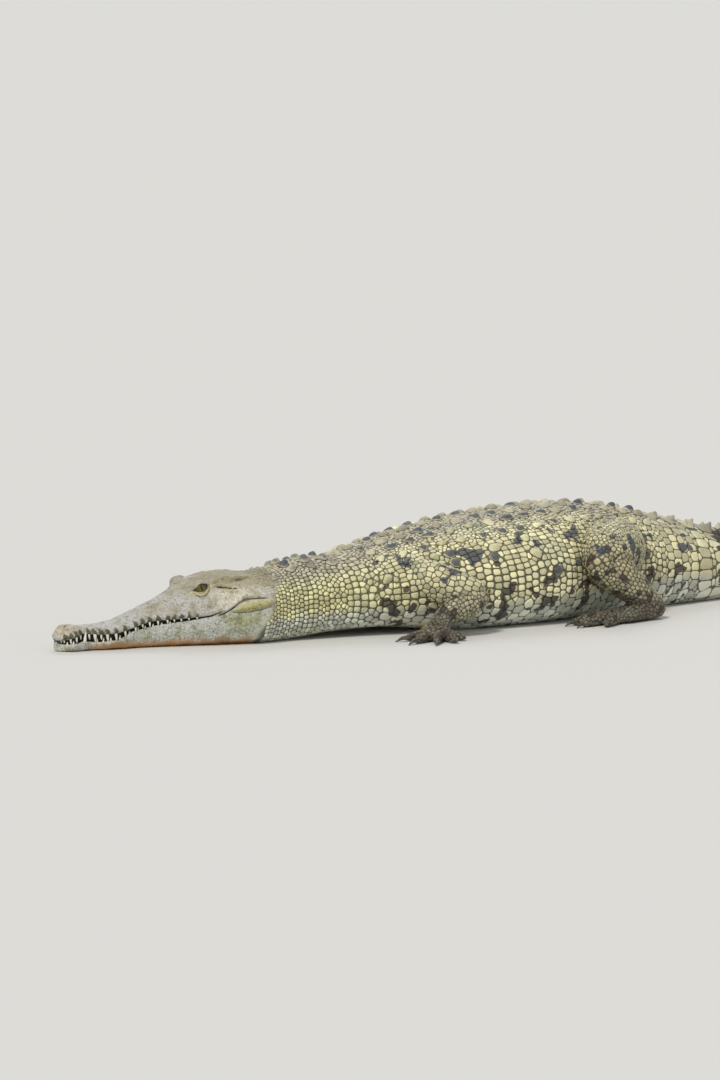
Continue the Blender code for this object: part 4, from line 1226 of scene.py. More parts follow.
def seedLimbs(parts):
    strips = {"Arms": 0, "Legs": 0}
    stripHeight = 0.96 / 16
    for kind, tubeRows, mirror, shift in parts:
        group, pitch, width, rise, form, _ = limbScales[kind]
        middles, ahead, across, up = tubeFrames(tubeRows, mirror, shift)
        arc = arcOf(middles)
        count = max(2, round(arc[-1] / pitch))
        for k in range(count):
            reach = (k + 0.5) / count * arc[-1]
            middle = np.array([np.interp(reach, arc, middles[:, n]) for n in range(3)])
            wide, high = (float(np.interp(reach, arc, tubeRows[:, n])) - limbs["coat"] for n in (3, 4))
            nearest = int(np.argmin(np.abs(arc - reach)))
            girth = math.pi * (3 * (wide + high) - math.sqrt((3 * wide + high) * (wide + 3 * high)))
            around = max(5, round(girth / width))
            for j in range(around):
                turn = 2 * math.pi * (j + 0.5 * (k % 2) + rng.normal(0, 0.06)) / around
                at = (middle + across[nearest] * wide * math.cos(turn) + up[nearest] * high * math.sin(turn)
                      + ahead[nearest] * rng.normal(0, 0.07) * pitch)
                strip = strips[group] + (turn / (2 * math.pi)) % 1
                uv = (0.02 + 0.96 * reach / arc[-1], 0.02 + stripHeight * strip)
                addSeed(at, ahead[nearest], uv, 0.5 * pitch, 0.5 * girth / around,
                        rise * rng.uniform(0.85, 1.15), form, group)
        strips[group] += 1


def pointTree(points):
    tree = KDTree(len(points))
    for k, point in enumerate(points):
        tree.insert(point, k)
    tree.balance()
    return tree


bare = {
    "from": 0.374,  # s ahead of which the hide stays bare
    "cell": 0.012,  # of the grid that keeps the added scales apart
    "away": 1.32,  # how many sizes from the nearest scale a place counts as bare
    "apart": 1.75,
    "sizes": (0.0034, 0.0056),
}


def fillBare(grown, skin):
    # small scales wherever the hide would show between the others, behind the head
    points, normals = pointsOf(skin.data), pointsOf(skin.data, "normal")
    tree = pointTree(grown["at"])
    size = np.sqrt(grown["long"] * grown["wide"])
    added = {name: [] for name in grown}
    taken = {}
    cell, bareFrom = bare["cell"], bare["from"]
    least, most = bare["sizes"]
    for k in rng.permutation(len(points)):
        _, j, distance = tree.find(points[k])
        if distance < bare["away"] * max(size[j], 0.0030) or distance > 0.09:
            continue
        if grown["group"][j] == "Head" or toHead(points[k])[0] < bareFrom:
            continue
        onLimb = grown["group"][j] in ("Arms", "Legs")
        own = min(most, max(least, 0.8 * size[j], 0.30 * distance * onLimb))
        home = tuple(int(v) for v in np.floor(points[k] / cell))
        near = [p for x in (-1, 0, 1) for y in (-1, 0, 1) for z in (-1, 0, 1)
                for p in taken.get((home[0] + x, home[1] + y, home[2] + z), ())]
        if any(math.dist(p, points[k]) < bare["apart"] * own for p in near):
            continue
        taken.setdefault(home, []).append(tuple(points[k]))
        along = grown["along"][j] - (grown["along"][j] @ normals[k]) * normals[k]
        along = unit(along if np.linalg.norm(along) > 0.1 else np.cross(normals[k], (0.3, 0.5, 0.8)))
        across = np.cross(normals[k], along)
        offset = points[k] - grown["at"][j]
        uv = grown["uv"][j] + np.array([offset @ along / spine["length"], 0.8 * (offset @ across)])
        for name, value in (("at", points[k]), ("normal", normals[k]), ("along", along), ("across", across),
                            ("long", own), ("wide", own), ("rise", 0.0013), ("keel", 0.0), ("kind", "round"),
                            ("group", grown["group"][j]), ("dark", 0.0), ("uv", np.clip(uv, 0.01, 0.99))):
            added[name].append(value)
    print(len(added["at"]), "scales added in bare places")
    for name, values in added.items():
        grown[name] = list(grown[name]) + values
        if name not in ("kind", "group"):
            grown[name] = np.array(grown[name], float)


def seedHead():
    # thin plates on the jaw, throat and cheek; the hide of the snout and skull has none
    s, odd = 0.030, 0
    while s < rows["neckPitch"][0][0]:
        pitch = 0.0062 + 0.0018 * float(smoothStep(0.1, 0.3, s))
        line = RingLine(s)
        for mirror in (1, -1):
            reach = line.length - 0.25 * pitch * (1 + odd)
            while reach > 0:
                side = float(np.interp(reach, line.arc, line.half[:, 0]))
                z = float(np.interp(reach, line.arc, line.half[:, 1]))
                lipZ = float(headAt["mouthHeight"](s) - headAt["mouthOpen"](s) / 2)
                below = z < lipZ - 0.0065 - 0.004 * float(smoothStep(0.28, 0.32, s))
                onCheek = s > 0.335 and z < float(headAt["rimHeight"](s)) - 0.012 and side > 0.03
                # kept off the pad, the fold and the ear
                folded = min(abs(padCoords(s, z)[1]) - 0.007, abs(z - foldAt(s)),
                             abs(earCoords(s, z)[1]) - 0.003 - 9 * (s > 0.345))
                if (below or onCheek) and not (0.285 < s < 0.392 and folded < 0.005):
                    rise = 0.00025 + 0.0004 * float(smoothStep(0.30, 0.38, s))
                    line.seed(reach, mirror, rng.normal(0, 0.07) * pitch, 0.5 * pitch, 0.5 * pitch, rise,
                              "thin", "Head")
                reach -= pitch * rng.uniform(0.92, 1.08)
        s += pitch
        odd = 1 - odd


def settleSeeds(skinTree):
    # sets each seed on the skin, and drops those that are inside another part or crowd a bigger one
    at = np.array(seeds["at"])
    normal = np.zeros_like(at)
    keep = np.ones(len(at), bool)
    for k, point in enumerate(at):
        found, facing, _, distance = skinTree.find_nearest(Vector(point))
        if distance > 0.0065:
            keep[k] = False
        at[k], normal[k] = found, facing
    chosen = np.nonzero(keep)[0]
    long, wide, rank = (np.array(seeds[name])[chosen] for name in ("long", "wide", "rank"))
    at, normal = at[chosen], normal[chosen]
    along = np.array(seeds["along"])[chosen]
    along = unit(along - (along * normal).sum(1)[:, None] * normal)
    across = np.cross(normal, along)
    tree = pointTree(at)
    alive = np.ones(len(at), bool)
    biggest = max(long.max(), wide.max())
    for k in np.lexsort((-long * wide, -rank)):
        if not alive[k]:
            continue
        for _, j, distance in tree.find_range(at[k], (max(long[k], wide[k]) + biggest) * 0.9):
            if j == k or not alive[j] or rank[j] > rank[k]:
                continue
            away = at[j] - at[k]
            x, y = away @ along[k], away @ across[k]
            flat = math.hypot(x, y) + 1e-9
            c, d = x / flat, y / flat
            own = 1 / math.hypot(c / long[k], d / wide[k])
            other = 1 / math.hypot(c / long[j], d / wide[j])
            if distance < rows["crowding"][0 if rank[k] > 2 else 1] * (own + other):
                alive[j] = False
    kept = chosen[alive]
    out = {name: [seeds[name][k] for k in kept] for name in ("kind", "group")}
    for name in ("rise", "keel", "uv", "dark"):
        out[name] = np.array(seeds[name])[kept]
    out.update(at=at[alive], normal=normal[alive], along=along[alive], across=across[alive], long=long[alive],
               wide=wide[alive])
    return out


def cellReaches(grown, sides, chosen, tree, count=11):
    # how far each chosen scale reaches in each of its directions before it meets its neighbours
    turns = np.linspace(0, 2 * math.pi, sides, endpoint=False)
    at = grown["at"]
    near = np.array([[j for _, j, _ in tree.find_n(at[k], count + 1)][1:] for k in chosen])
    away = at[near] - at[chosen][:, None]
    distance = np.linalg.norm(away, axis=2)
    x = (away * grown["along"][chosen][:, None]).sum(2)
    y = (away * grown["across"][chosen][:, None]).sum(2)
    toward = np.arctan2(y, x)
    long, wide = grown["long"][chosen][:, None], grown["wide"][chosen][:, None]
    own = 1 / np.hypot(np.cos(toward) / long, np.sin(toward) / wide)
    other = 1 / np.hypot(np.cos(toward) / grown["long"][near], np.sin(toward) / grown["wide"][near])
    edge = distance * own / (own + other)
    facing = np.maximum(np.cos(turns[None, None] - toward[:, :, None]), 0)
    power = rows["sharpness"]
    total = ((facing / edge[:, :, None]) ** power).sum(1)
    look = kinds[grown["kind"][chosen[0]]]
    corner = look["corner"]
    inCorner = (np.abs(np.cos(turns)) / long) ** corner + (np.abs(np.sin(turns)) / wide) ** corner
    total += (look["cap"] * inCorner ** (-1 / corner)) ** -power
    reach = total ** (-1 / power)
    return np.maximum(reach - look["gap"] / 2, 0.3 * reach), turns


# where a point lies on the animal, and the markings there, for skin and scales alike
markings = {
    "barLength": 0.098,
    "tailBarLength": 0.150,
    "barStrength": 0.20,
    "blotch": 0.021,
    "speck": 0.013,
    "low": 0.20,
    "high": 0.44,
    "cloud": 0.030,
    # (start of the face at the jaw, how far back it leans with height, most of that, more on the skull)
    "faceEnds": (0.356, 0.62, 0.030, 0.020),
}


def faceShare(points, s):
    # 1 on the head; it ends along a line that slopes forward down the jaw
    start, lean, most, more = markings["faceEnds"]
    z = points[:, 2]
    limit = start + np.clip(lean * (z - 0.020), 0, most) + more * smoothStep(0.075, 0.11, z)
    reach = 0.012 + 0.006 * smoothStep(0.085, 0.110, z)
    return 1 - smoothStep(limit - reach, limit + reach, s)


def markingsAt(points, limbShare, own=0.0):
    # own is a small shift for each scale, so that a patch ends at the edge of one here and there
    s, _, around = spineCoords(points)
    onTail = smoothStep(1.15, 1.45, s)
    wobble = 0.30 * grain(points, 0.16, 2.0)
    bars = np.sin(2 * math.pi * (s / markings["barLength"] + wobble))
    tailBars = np.sin(2 * math.pi * ((s - body["tailStart"]) / markings["tailBarLength"] + 0.5 * wobble))
    bars = bars * (1 - onTail) + 1.5 * tailBars * onTail
    blotch = 1.6 * grain(points, markings["blotch"], 5.0)
    speck = 1.1 * grain(points, markings["speck"], 9.0)
    lowFlank = bump(around - 0.555, 0.055) * (1 - onTail) * smoothStep(0.50, 0.62, s)
    value = markings["barStrength"] * bars + 0.36 * blotch + 0.38 * speck + own
    value += 0.30 * lowFlank + 0.12 * onTail - 0.07
    value -= 0.55 * smoothStep(0.66, 0.80, around) * (1 - 0.7 * onTail)
    value -= 0.30 * (1 - smoothStep(0.30, 0.50, around)) * (1 - onTail)
    value -= 0.22 * (1 - smoothStep(0.46, 0.58, s))
    onLimb = smoothStep(0.1, 0.5, limbShare)
    value = value * (1 - onLimb) + onLimb * (0.46 * blotch + 0.45 * speck + 0.06 + own)
    face = faceShare(points, s)
    # blue-grey patches high on the flank and on the upper limbs
    clouds = 1.9 * grain(points, markings["cloud"], 12.0) + 0.5 * speck + 0.6 * own
    clouds = clouds * np.maximum(bump(around - 0.37, 0.13) * smoothStep(0.44, 0.60, s),
                                 0.8 * onLimb * (1 - smoothStep(0.5, 0.7, limbShare)))
    onNeck = 1 - smoothStep(0.50, 0.66, s)
    olive = (1 - smoothStep(0.50, 0.80, s)) * smoothStep(0.24, 0.46, around)
    flank = smoothStep(0.12 + 0.14 * onNeck, 0.32 + 0.14 * onNeck, around)
    pale = smoothStep(0.518, 0.60, around + 0.02 * blotch * bump(s - 0.46, 0.09))
    return {
        "mark": smoothStep(markings["low"], markings["high"], value) * (1 - face),
        "side": flank * (1 - 0.5 * onTail * (1 - around)),
        "pale": pale * (1 - onLimb) * (1 - face),
        "olive": olive * (1 - 0.85 * face) * (1 - 0.8 * onLimb),
        "clouds": smoothStep(0.34, 0.72, clouds) * (1 - face),
        "limb": limbShare,
        "face": face,
        # painted shade in the gaps between scales, deeper and wider along the middle of the flank
        "rim": bump(around - 0.480, 0.065) * (1 - onTail) * (1 - onLimb) * smoothStep(0.58, 0.72, s),
    }


def buildScales(grown, skinTree, parts):
    tree = pointTree(grown["at"])
    kindOf, groupOf = np.array(grown["kind"]), np.array(grown["group"])
    limbShare = nearLimbs(grown["at"], parts)
    tone = np.where(groupOf == "Head", rng.uniform(0.42, 0.58, len(groupOf)), rng.uniform(0, 1, len(groupOf)))
    facts = {"limb": limbShare, "tone": tone, "dark": grown["dark"]}
    made = {}
    for kind, look in kinds.items():
        for group in sorted(set(groupOf)):
            chosen = np.nonzero((kindOf == kind) & (groupOf == group))[0]
            if len(chosen):
                made.setdefault(group, []).append(patchesOf(grown, chosen, kind, look, tree, skinTree, facts))
    return [scaleObject("scales" + group, patches) for group, patches in made.items()]


def patchesOf(grown, chosen, kind, look, tree, skinTree, facts):
    # points, faces, map places and markings of all the scales of one kind in one group
    sides, rings = look["sides"], look["rings"]
    reach, turns = cellReaches(grown, sides, chosen, tree)
    at, normal = grown["at"][chosen], grown["normal"][chosen]
    along, across = grown["along"][chosen], grown["across"][chosen]
    ways = (np.cos(turns)[None, :, None] * along[:, None] + np.sin(turns)[None, :, None] * across[:, None])
    keel, rise = grown["keel"][chosen], grown["rise"][chosen]
    careful = kind in ("scute", "crest")  # big enough for the skin to curve under them
    lean = rows["crestLean"] if kind == "crest" else 0.0  # how far back the keel leans
    layers, shares = [], []
    rimBase, rimNormal = snapped(at[:, None] + ways * reach[:, :, None], skinTree)
    for share, high in rings:
        x = share * reach * np.cos(turns) / grown["long"][chosen][:, None]
        y = share * reach * np.sin(turns) / grown["wide"][chosen][:, None]
        keeled = keel[:, None] * ridge(x, y, kind) * (1 - share ** 5)
        uneven = 1 + rows["uneven"] * rng.uniform(-1, 1, x.shape)
        lift = rise[:, None] * (high + rows["slope"] * x * (1 - share)) * uneven + keeled
        if careful and share < 1:
            base, facing = snapped(at[:, None] + ways * reach[:, :, None] * share, skinTree)
        else:
            base = at[:, None] * (1 - share) + rimBase * share
            facing = unit(normal[:, None] * (1 - share) + rimNormal * share)
        layers.append(base + facing * lift[:, :, None] + along[:, None] * (lean * keeled)[:, :, None])
        shares.append(np.full(x.shape, max(0.0, min(1.0, high))))
    keeled = keel * ridge(0.0, 0.0, kind)
    top = at + normal * (rise * rings[-1][1] + keeled)[:, None] + along * (lean * keeled)[:, None]
    count, perScale = len(chosen), 1 + sides * len(rings)
    points = np.concatenate([top[:, None]] + layers, axis=1).reshape(-1, 3)
    raised = np.concatenate([np.ones((count, 1))] + shares, axis=1).ravel()
    ringShare = np.repeat([share for share, _ in rings], sides)
    spots = np.stack([np.tile(np.cos(turns), len(rings)), np.tile(np.sin(turns), len(rings))], -1)
    spots = np.concatenate([[(0.0, 0.0)], spots * ringShare[:, None] * rows["mapPatch"]])
    uvs = (grown["uv"][chosen][:, None] + spots[None]).reshape(-1, 2)
    near = 1 + np.arange(sides)
    after = 1 + near % sides
    quads = np.concatenate([np.stack([near, after, after + sides, near + sides], -1) + k * sides
                            for k in range(len(rings) - 1)])
    inner = (len(rings) - 1) * sides
    fan = np.stack([inner + near, inner + after, np.zeros(sides, int)], -1)
    under = near[::-1]
    corners = np.concatenate([quads.ravel(), fan.ravel(), under])
    sizes = np.concatenate([np.full(len(quads), 4), np.full(len(fan), 3), [sides]])
    starts = np.arange(count)[:, None] * perScale
    own = {name: np.repeat(values[chosen], perScale) for name, values in facts.items()}
    own.update(markingsAt(points, own["limb"], 0.22 * (own["tone"] - 0.5)))
    inward = np.concatenate([[1.0], 1 - smoothStep(0.72, 1.02, ringShare)])
    own["dark"] = np.maximum(own["dark"] * np.tile(inward, count), 0.85 * own["clouds"])
    # the low rings at a scale's edge are painted with crease shade, more along the middle of the flank
    own["raised"] = raised - 0.26 * own["rim"]
    own.update(headFacts(points))
    # painted shade along the wrinkles of loose hide
    own["fold"] = np.maximum(own["fold"], wrinkles["dark"] * creases(points) * (1 - own["limb"]))
    return {
        "points": points,
        "corners": (corners[None] + starts).ravel(),
        "sizes": np.tile(sizes, count),
        "uvs": uvs,
        "facts": own,
    }


def ridge(x, y, kind):
    # the keel along the middle of a scale, highest behind its middle
    peak = 2 * rows["crestShare"] - 1
    front = np.clip((x + 1) / (peak + 1), 0, 1)
    rear = np.clip((1 - x) / (1 - peak), 0, 1)
    rise = np.where(x < peak, front * front * (3 - 2 * front), rear ** 0.75)
    if kind == "crest":
        return np.where(x < peak, front ** 1.4, rear ** 0.8) * np.exp(-(np.abs(y) / 0.34) ** 1.25)
    return rise * (1.9 - 0.9 * rise) * np.exp(-(np.abs(y) / 0.50) ** 1.8)


def snapped(points, skinTree):
    shape = points.shape
    base, facing = np.empty((points.size // 3, 3)), np.empty((points.size // 3, 3))
    for k, point in enumerate(points.reshape(-1, 3)):
        base[k], facing[k] = skinTree.find_nearest(Vector(point))[:2]
    return base.reshape(shape), facing.reshape(shape)


def setFacts(mesh, facts):
    for name, values in facts.items():
        own = mesh.attributes.new(name, "FLOAT", "POINT")
        own.data.foreach_set("value", np.asarray(values, np.float32))


def scaleObject(name, patches):
    counts = np.cumsum([0] + [len(patch["points"]) for patch in patches])
    points = np.concatenate([patch["points"] for patch in patches])
    corners = np.concatenate([patch["corners"] + first for patch, first in zip(patches, counts)])
    sizes = np.concatenate([patch["sizes"] for patch in patches])
    uvs = np.concatenate([patch["uvs"] for patch in patches])
    points[:, 2] = np.maximum(points[:, 2], rows["floorGap"])
    mesh = bpy.data.meshes.new(name)
    mesh.vertices.add(len(points))
    mesh.vertices.foreach_set("co", points.ravel())
    mesh.loops.add(len(corners))
    mesh.loops.foreach_set("vertex_index", corners)
    mesh.polygons.add(len(sizes))
    mesh.polygons.foreach_set("loop_start", np.concatenate([[0], np.cumsum(sizes)[:-1]]))
    mesh.update(calc_edges=True)
    unwrapped = mesh.uv_layers.new(name="OFBake")
    unwrapped.data.foreach_set("uv", uvs[corners].ravel())
    names = patches[0]["facts"].keys()
    setFacts(mesh, {key: np.concatenate([patch["facts"][key] for patch in patches]) for key in names})
    mesh.shade_smooth()
    made = objectOf(name, mesh)
    handOver(made, {"scalesHead": "head_hide", "scalesArms": "limb_hide", "scalesLegs": "limb_hide"}.get(
        name, "body_hide"))
    mesh.calc_loop_triangles()
    print(name, len(mesh.loop_triangles), "triangles")
    return made


def nearLimbs(points, parts):
    # 0 on the trunk, more on each limb down to 1 on the feet
    share = np.zeros(len(points))
    for kind, tubeRows, mirror, shift in parts:
        strength = limbScales[kind][-1]
        middles = tubeFrames(tubeRows, mirror, shift)[0]
        for middle, row in zip(middles, tubeRows):
            if row[1] < 0.10:
                continue
            size = max(row[3], row[4])
            reach = np.linalg.norm(points - middle, axis=1) / size
            share = np.maximum(share, strength * (1 - smoothStep(1.05, 1.35, reach)))
    return share


def markSkin(skin, parts):
    points = pointsOf(skin.data)
    facts = markingsAt(points, nearLimbs(points, parts))
    facts.update(headFacts(points))
    face = facts["face"]
    facts["tone"] = np.full(len(points), 0.5)
    # the hide between the scales is painted with crease shade, the face is not
    facts["raised"] = 0.16 + 0.84 * face
    facts["dark"] = 0.8 * facts["clouds"]
    inHead = toHead(points)
    s, z = inHead[:, 0], inHead[:, 2]
    mouthZ, gape = headAt["mouthHeight"](s), headAt["mouthOpen"](s)
    stain, lid, rim = np.zeros((3, len(points)))
    halfS, halfZ = teeth["stainHalf"]
    for upper, sign, strength in ((True, 1, 1.0), (False, -1, 0.35)):
        for toothAt, length in toothPlaces(upper):
            if toothAt < teeth["stainFrom"]:
                continue
            away = ((s - toothAt) / halfS) ** 2 + ((sign * (z - mouthZ) - gape / 2 - 0.0030) / halfZ) ** 2
            stain = np.maximum(stain, strength * np.exp(-away) * min(1.0, 0.45 + length / 0.016))
    facts["stain"] = stain * (s < 0.33)
    for mirror in (1, -1):
        # yellow folds of the lower lid, and lines of painted shade at the edge of the opening and between the
        # folds
        outside, y, reach, _ = eyeOpening(inHead, mirror)
        near = (reach < 0.024) & (outside < 0.02)
        lowerLid = bump(outside - 0.0056, 0.0024) * smoothStep(0.006, 0.001, y)
        lid = np.maximum(lid, near * np.maximum(lowerLid, 0.55 * bump(outside - 0.0018, 0.0012)))
        edge = np.where(y > 0, 0.0020, 0.0009)
        for line in (1 - smoothStep(edge - 0.0008, edge + 0.0006, outside),
                     0.58 * bump(outside - 0.0034, 0.0008),
                     0.50 * bump(outside - 0.0090, 0.0010) * (y < 0)):
            rim = np.maximum(rim, near * line)
    facts["lid"] = lid
    facts["hollowShade"] = np.maximum(rim, mouthInside(inHead))
    # painted shade along the wrinkles of loose hide
    facts["fold"] = np.maximum(facts["fold"], wrinkles["dark"] * creases(points))
    setFacts(skin.data, facts)


def headFacts(points):
    # where the tints of the head lie, nothing on the rest of the animal
    inHead = toHead(points)
    s, side, z = inHead[:, 0], np.abs(inHead[:, 1]), inHead[:, 2]
    face = faceShare(points, s) * (s < 0.5)
    offS, offZ, shape = padCoords(s, z)
    offZ = offZ / sculpt["padHalf"][1]
    # painted shade in the fold from the corner of the mouth, under the pad and in the groove over the ear
    fold = within(s, *sculpt["foldTint"]) * bump(z - foldAt(s), sculpt["foldWidth"])
    underPad = bump(offZ / np.maximum(shape, 0.05) + 1.12, 0.22) * (shape > 0)
    fold = np.maximum(fold, 0.8 * shape ** 0.4 * underPad)
    fromGroove, overGroove = grooveCoords(s, z)
    groove = bump(fromGroove, 0.018) * bump(overGroove, 0.0013)
    flap = bump(s - sculpt["earAt"][0] - 0.004, 0.016) * bump(earCoords(s, z)[1] + 0.0045, 0.0030)
    jaw = (1 - smoothStep(-0.004, 0.002, z - headAt["mouthHeight"](s))) * face
    crown = smoothStep(0.27, 0.31, s) * smoothStep(0.090, 0.108, z)
    crown += 0.6 * bump(s - 0.25, 0.05) * smoothStep(0.080, 0.100, z)
    wavy = 0.005 * grain(points, 0.02, 4.4) if face.any() else 0.0
    return {
        "pad": np.maximum(bump(offS ** 2 + offZ ** 2, 1) * (side > 0.05), 0.8 * flap * (side > 0.03)) * face,
        "fold": np.maximum(fold, 0.90 * groove) * (side > 0.03) * face,
        "cheek": bump(s - 0.335, 0.055) * bump(z - 0.084, 0.024) * (side > 0.03) * face,
        "jaw": jaw,
        "green": jaw * bump(s - 0.333, 0.030) * bump(z - 0.044, 0.017),
        # orange along the bottom of the face, near the floor
        "lowband": (1 - smoothStep(0.004, 0.019, z + wavy)) * face * smoothStep(0.04, 0.10, s),
        "crown": np.clip(crown, 0, 1) * face,
        "tip": (1 - smoothStep(0.02, 0.075, s)) * smoothStep(0.02, 0.035, z) * face,
    }


def mouthInside(inHead):
    # 1 in the groove between the lips, in the slot of the ear and in the nostrils, where painted shade goes
    s, side, z = inHead[:, 0], np.abs(inHead[:, 1]), inHead[:, 2]
    half = np.maximum(headAt["mouthOpen"](s) / 2, 0.0008)
    inset = np.maximum(headAt["jawInset"](s), 0) * (z < headAt["mouthHeight"](s))
    inward = headAt["lipSide"](s) - inset - side
    level = 1 - smoothStep(half - 0.0002, half + 0.0008, np.abs(z - headAt["mouthHeight"](s)))
    groove = level * smoothStep(0.0012, 0.0030, inward + 0.004 * (s > 0.27)) * (s < 0.300)
    offS, fromSlot = earCoords(s, z)
    slot = bump(fromSlot, 0.0016 - 0.0006 * np.clip(offS, -1, 1)) * (side > 0.03)
    slot *= 1 - smoothStep(0.60, 1.20, np.abs(offS))
    nostrilS, nostrilSide, _ = sculpt["nostrilAt"]
    pit = bump(s - nostrilS, 0.0032) * bump(side - nostrilSide, 0.0020) * (z > 0.034)
    return np.clip(np.maximum(np.maximum(groove, 0.9 * slot), pit), 0, 1)


def newNode(tree, kind, **values):
    node = tree.nodes.new(kind)
    for name, value in values.items():
        setattr(node, name, value)
    return node


def feed(tree, socket, value):
    if isinstance(value, bpy.types.NodeSocket):
        tree.links.new(value, socket)
    else:
        socket.default_value = (*value, 1.0) if isinstance(value, tuple) and len(value) == 3 else value


def product(tree, first, second):
    return worked(tree, "MULTIPLY", first, second)


def shifted(tree, value, noise, strength):
    # a mask with its edges broken up by noise
    return worked(tree, "MULTIPLY_ADD", worked(tree, "SUBTRACT", noise, 0.5), strength, value)


def blended(tree, share, first, second):
    node = newNode(tree, "ShaderNodeMix", data_type="RGBA")
    for socket, value in (("Factor", share), (6, first), (7, second)):
        feed(tree, node.inputs[socket], value)
    return node.outputs[2]


def worked(tree, operation, *values):
    node = newNode(tree, "ShaderNodeMath", operation=operation)
    for socket, value in zip(node.inputs, values):
        feed(tree, socket, value)
    return node.outputs[0]


def ranged(tree, value, low, high, first=0.0, last=1.0):
    node = newNode(tree, "ShaderNodeMapRange", interpolation_type="SMOOTHSTEP")
    for name, given in (("Value", value), ("From Min", low), ("From Max", high), ("To Min", first),
                        ("To Max", last)):
        feed(tree, node.inputs[name], given)
    return node.outputs["Result"]


def objectPlace(tree):
    return newNode(tree, "ShaderNodeTexCoord").outputs["Object"]


def noiseOf(tree, where, scale, detail=3.0):
    node = newNode(tree, "ShaderNodeTexNoise")
    for name, value in (("Vector", where), ("Scale", scale), ("Detail", detail), ("Roughness", 0.55)):
        feed(tree, node.inputs[name], value)
    return node.outputs["Fac"]


def cellsOf(tree, where, scale, feature="DISTANCE_TO_EDGE"):
    node = newNode(tree, "ShaderNodeTexVoronoi", feature=feature)
    feed(tree, node.inputs["Vector"], where)
    node.inputs["Scale"].default_value = scale
    return node.outputs["Distance"]


def newGroup(name, inputs, outputs):
    group = bpy.data.node_groups.new(name, "ShaderNodeTree")
    for way, sockets in (("INPUT", inputs), ("OUTPUT", outputs)):
        for label, kind in sockets:
            group.interface.new_socket(name=label, in_out=way, socket_type="NodeSocket" + kind)
    return group, newNode(group, "NodeGroupInput").outputs, newNode(group, "NodeGroupOutput").inputs


hideLook = {
    "Back": (0.52, 0.475, 0.34),
    "Flank": (0.88, 0.82, 0.49),
    "Belly": (0.70, 0.73, 0.62),
    "Olive": (0.76, 0.72, 0.38),
    "Blue": (0.055, 0.068, 0.095),
    "Brown": (0.040, 0.030, 0.027),
    # painted shade in the gaps between scales
    "CreaseShade": (0.036, 0.029, 0.016),
    "Limb": (0.15, 0.122, 0.088),
    "Face": (0.56, 0.535, 0.50),
}
# (mask, what it is called on the meshes)
hideMasks = (("Side", "side"), ("Pale", "pale"), ("Mark", "mark"), ("OliveShare", "olive"),
             ("LimbShare", "limb"), ("FaceShare", "face"), ("Tone", "tone"), ("Raised", "raised"),
             ("Dark", "dark"))


def hideGroup():
    inputs = [(name, "Color") for name in hideLook] + [(name, "Float") for name, _ in hideMasks]
    outputs = [("Color", "Color"), ("Roughness", "Float"), ("Height", "Float")]
    group, given, out = newGroup("hide", inputs, outputs)
    where = objectPlace(group)
    large = noiseOf(group, where, 14.0, 3.0)
    middle = noiseOf(group, where, 75.0, 4.0)
    fine = noiseOf(group, where, 420.0, 3.0)
    color = given["Back"]
    for mask, tint in (("Side", "Flank"), ("OliveShare", "Olive"), ("Pale", "Belly"), ("LimbShare", "Limb"),
                       ("FaceShare", "Face")):
        color = blended(group, given[mask], color, given[tint])
    # warm and cool drifts over the hide, then each scale's own tone
    for drift, low, high, first, last, tint in (
        (large, 0.45, 0.75, 0.0, 0.40, (0.55, 0.44, 0.22)),
        (large, 0.28, 0.48, 0.40, 0.0, (0.33, 0.36, 0.24)),
        (middle, 0.50, 0.74, 0.0, 0.30, (0.30, 0.31, 0.24)),
    ):
        color = blended(group, ranged(group, drift, low, high, first, last), color, tint)
    tone = ranged(group, given["Tone"], 0.0, 1.0, 0.72, 1.20)
    toned = newNode(group, "ShaderNodeVectorMath", operation="SCALE")
    feed(group, toned.inputs[0], color)
    feed(group, toned.inputs["Scale"], tone)
    color = toned.outputs[0]
    # dark patches, broken at their edges
    patch = ranged(group, shifted(group, given["Mark"], middle, 1.1), 0.26, 0.72, 0.0, 0.93)
    brown = blended(group, ranged(group, fine, 0.52, 0.72, 0.0, 0.6), given["Brown"], (0.15, 0.12, 0.09))
    color = blended(group, patch, color, brown)
    patch = ranged(group, shifted(group, given["Dark"], middle, 0.9), 0.30, 0.75, 0.0, 0.92)
    blue = blended(group, ranged(group, fine, 0.50, 0.72, 0.0, 0.7), given["Blue"], (0.20, 0.20, 0.19))
    color = blended(group, patch, color, blue)
    # peppering, then painted shade in the creases between scales
    color = blended(group, ranged(group, fine, 0.58, 0.70, 0.0, 0.50), color, (0.11, 0.10, 0.07))
    creaseShade = ranged(group, shifted(group, given["Raised"], fine, 0.5), 0.06, 0.62, 0.94, 0.0)
    group.links.new(blended(group, creaseShade, color, given["CreaseShade"]), out["Color"])
    group.links.new(ranged(group, middle, 0.3, 0.7, 0.42, 0.62), out["Roughness"])
    group.links.new(worked(group, "MULTIPLY_ADD", fine, 0.45, product(group, middle, 0.8)), out["Height"])
    return group


def readFact(tree, name):
    node = newNode(tree, "ShaderNodeAttribute", attribute_type="GEOMETRY", attribute_name=name)
    return node.outputs["Fac"]


def startMaterial(name):
    material = bpy.data.materials.new(name)
    material.use_nodes = True
    return material, material.node_tree, material.node_tree.nodes["Principled BSDF"]


def hideNode(tree, group):
    node = newNode(tree, "ShaderNodeGroup")
    node.node_tree = group
    for name, color in hideLook.items():
        node.inputs[name].default_value = (*color, 1.0)
    for socket, fact in hideMasks:
        tree.links.new(readFact(tree, fact), node.inputs[socket])
    return node


def bumped(tree, shader, height, strength, distance):
    node = newNode(tree, "ShaderNodeBump")
    node.inputs["Strength"].default_value = strength
    node.inputs["Distance"].default_value = distance
    feed(tree, node.inputs["Height"], height)
    tree.links.new(node.outputs["Normal"], shader.inputs["Normal"])


faceMasks = ("face", "crown", "tip", "cheek", "jaw", "green", "pad", "lowband", "fold")


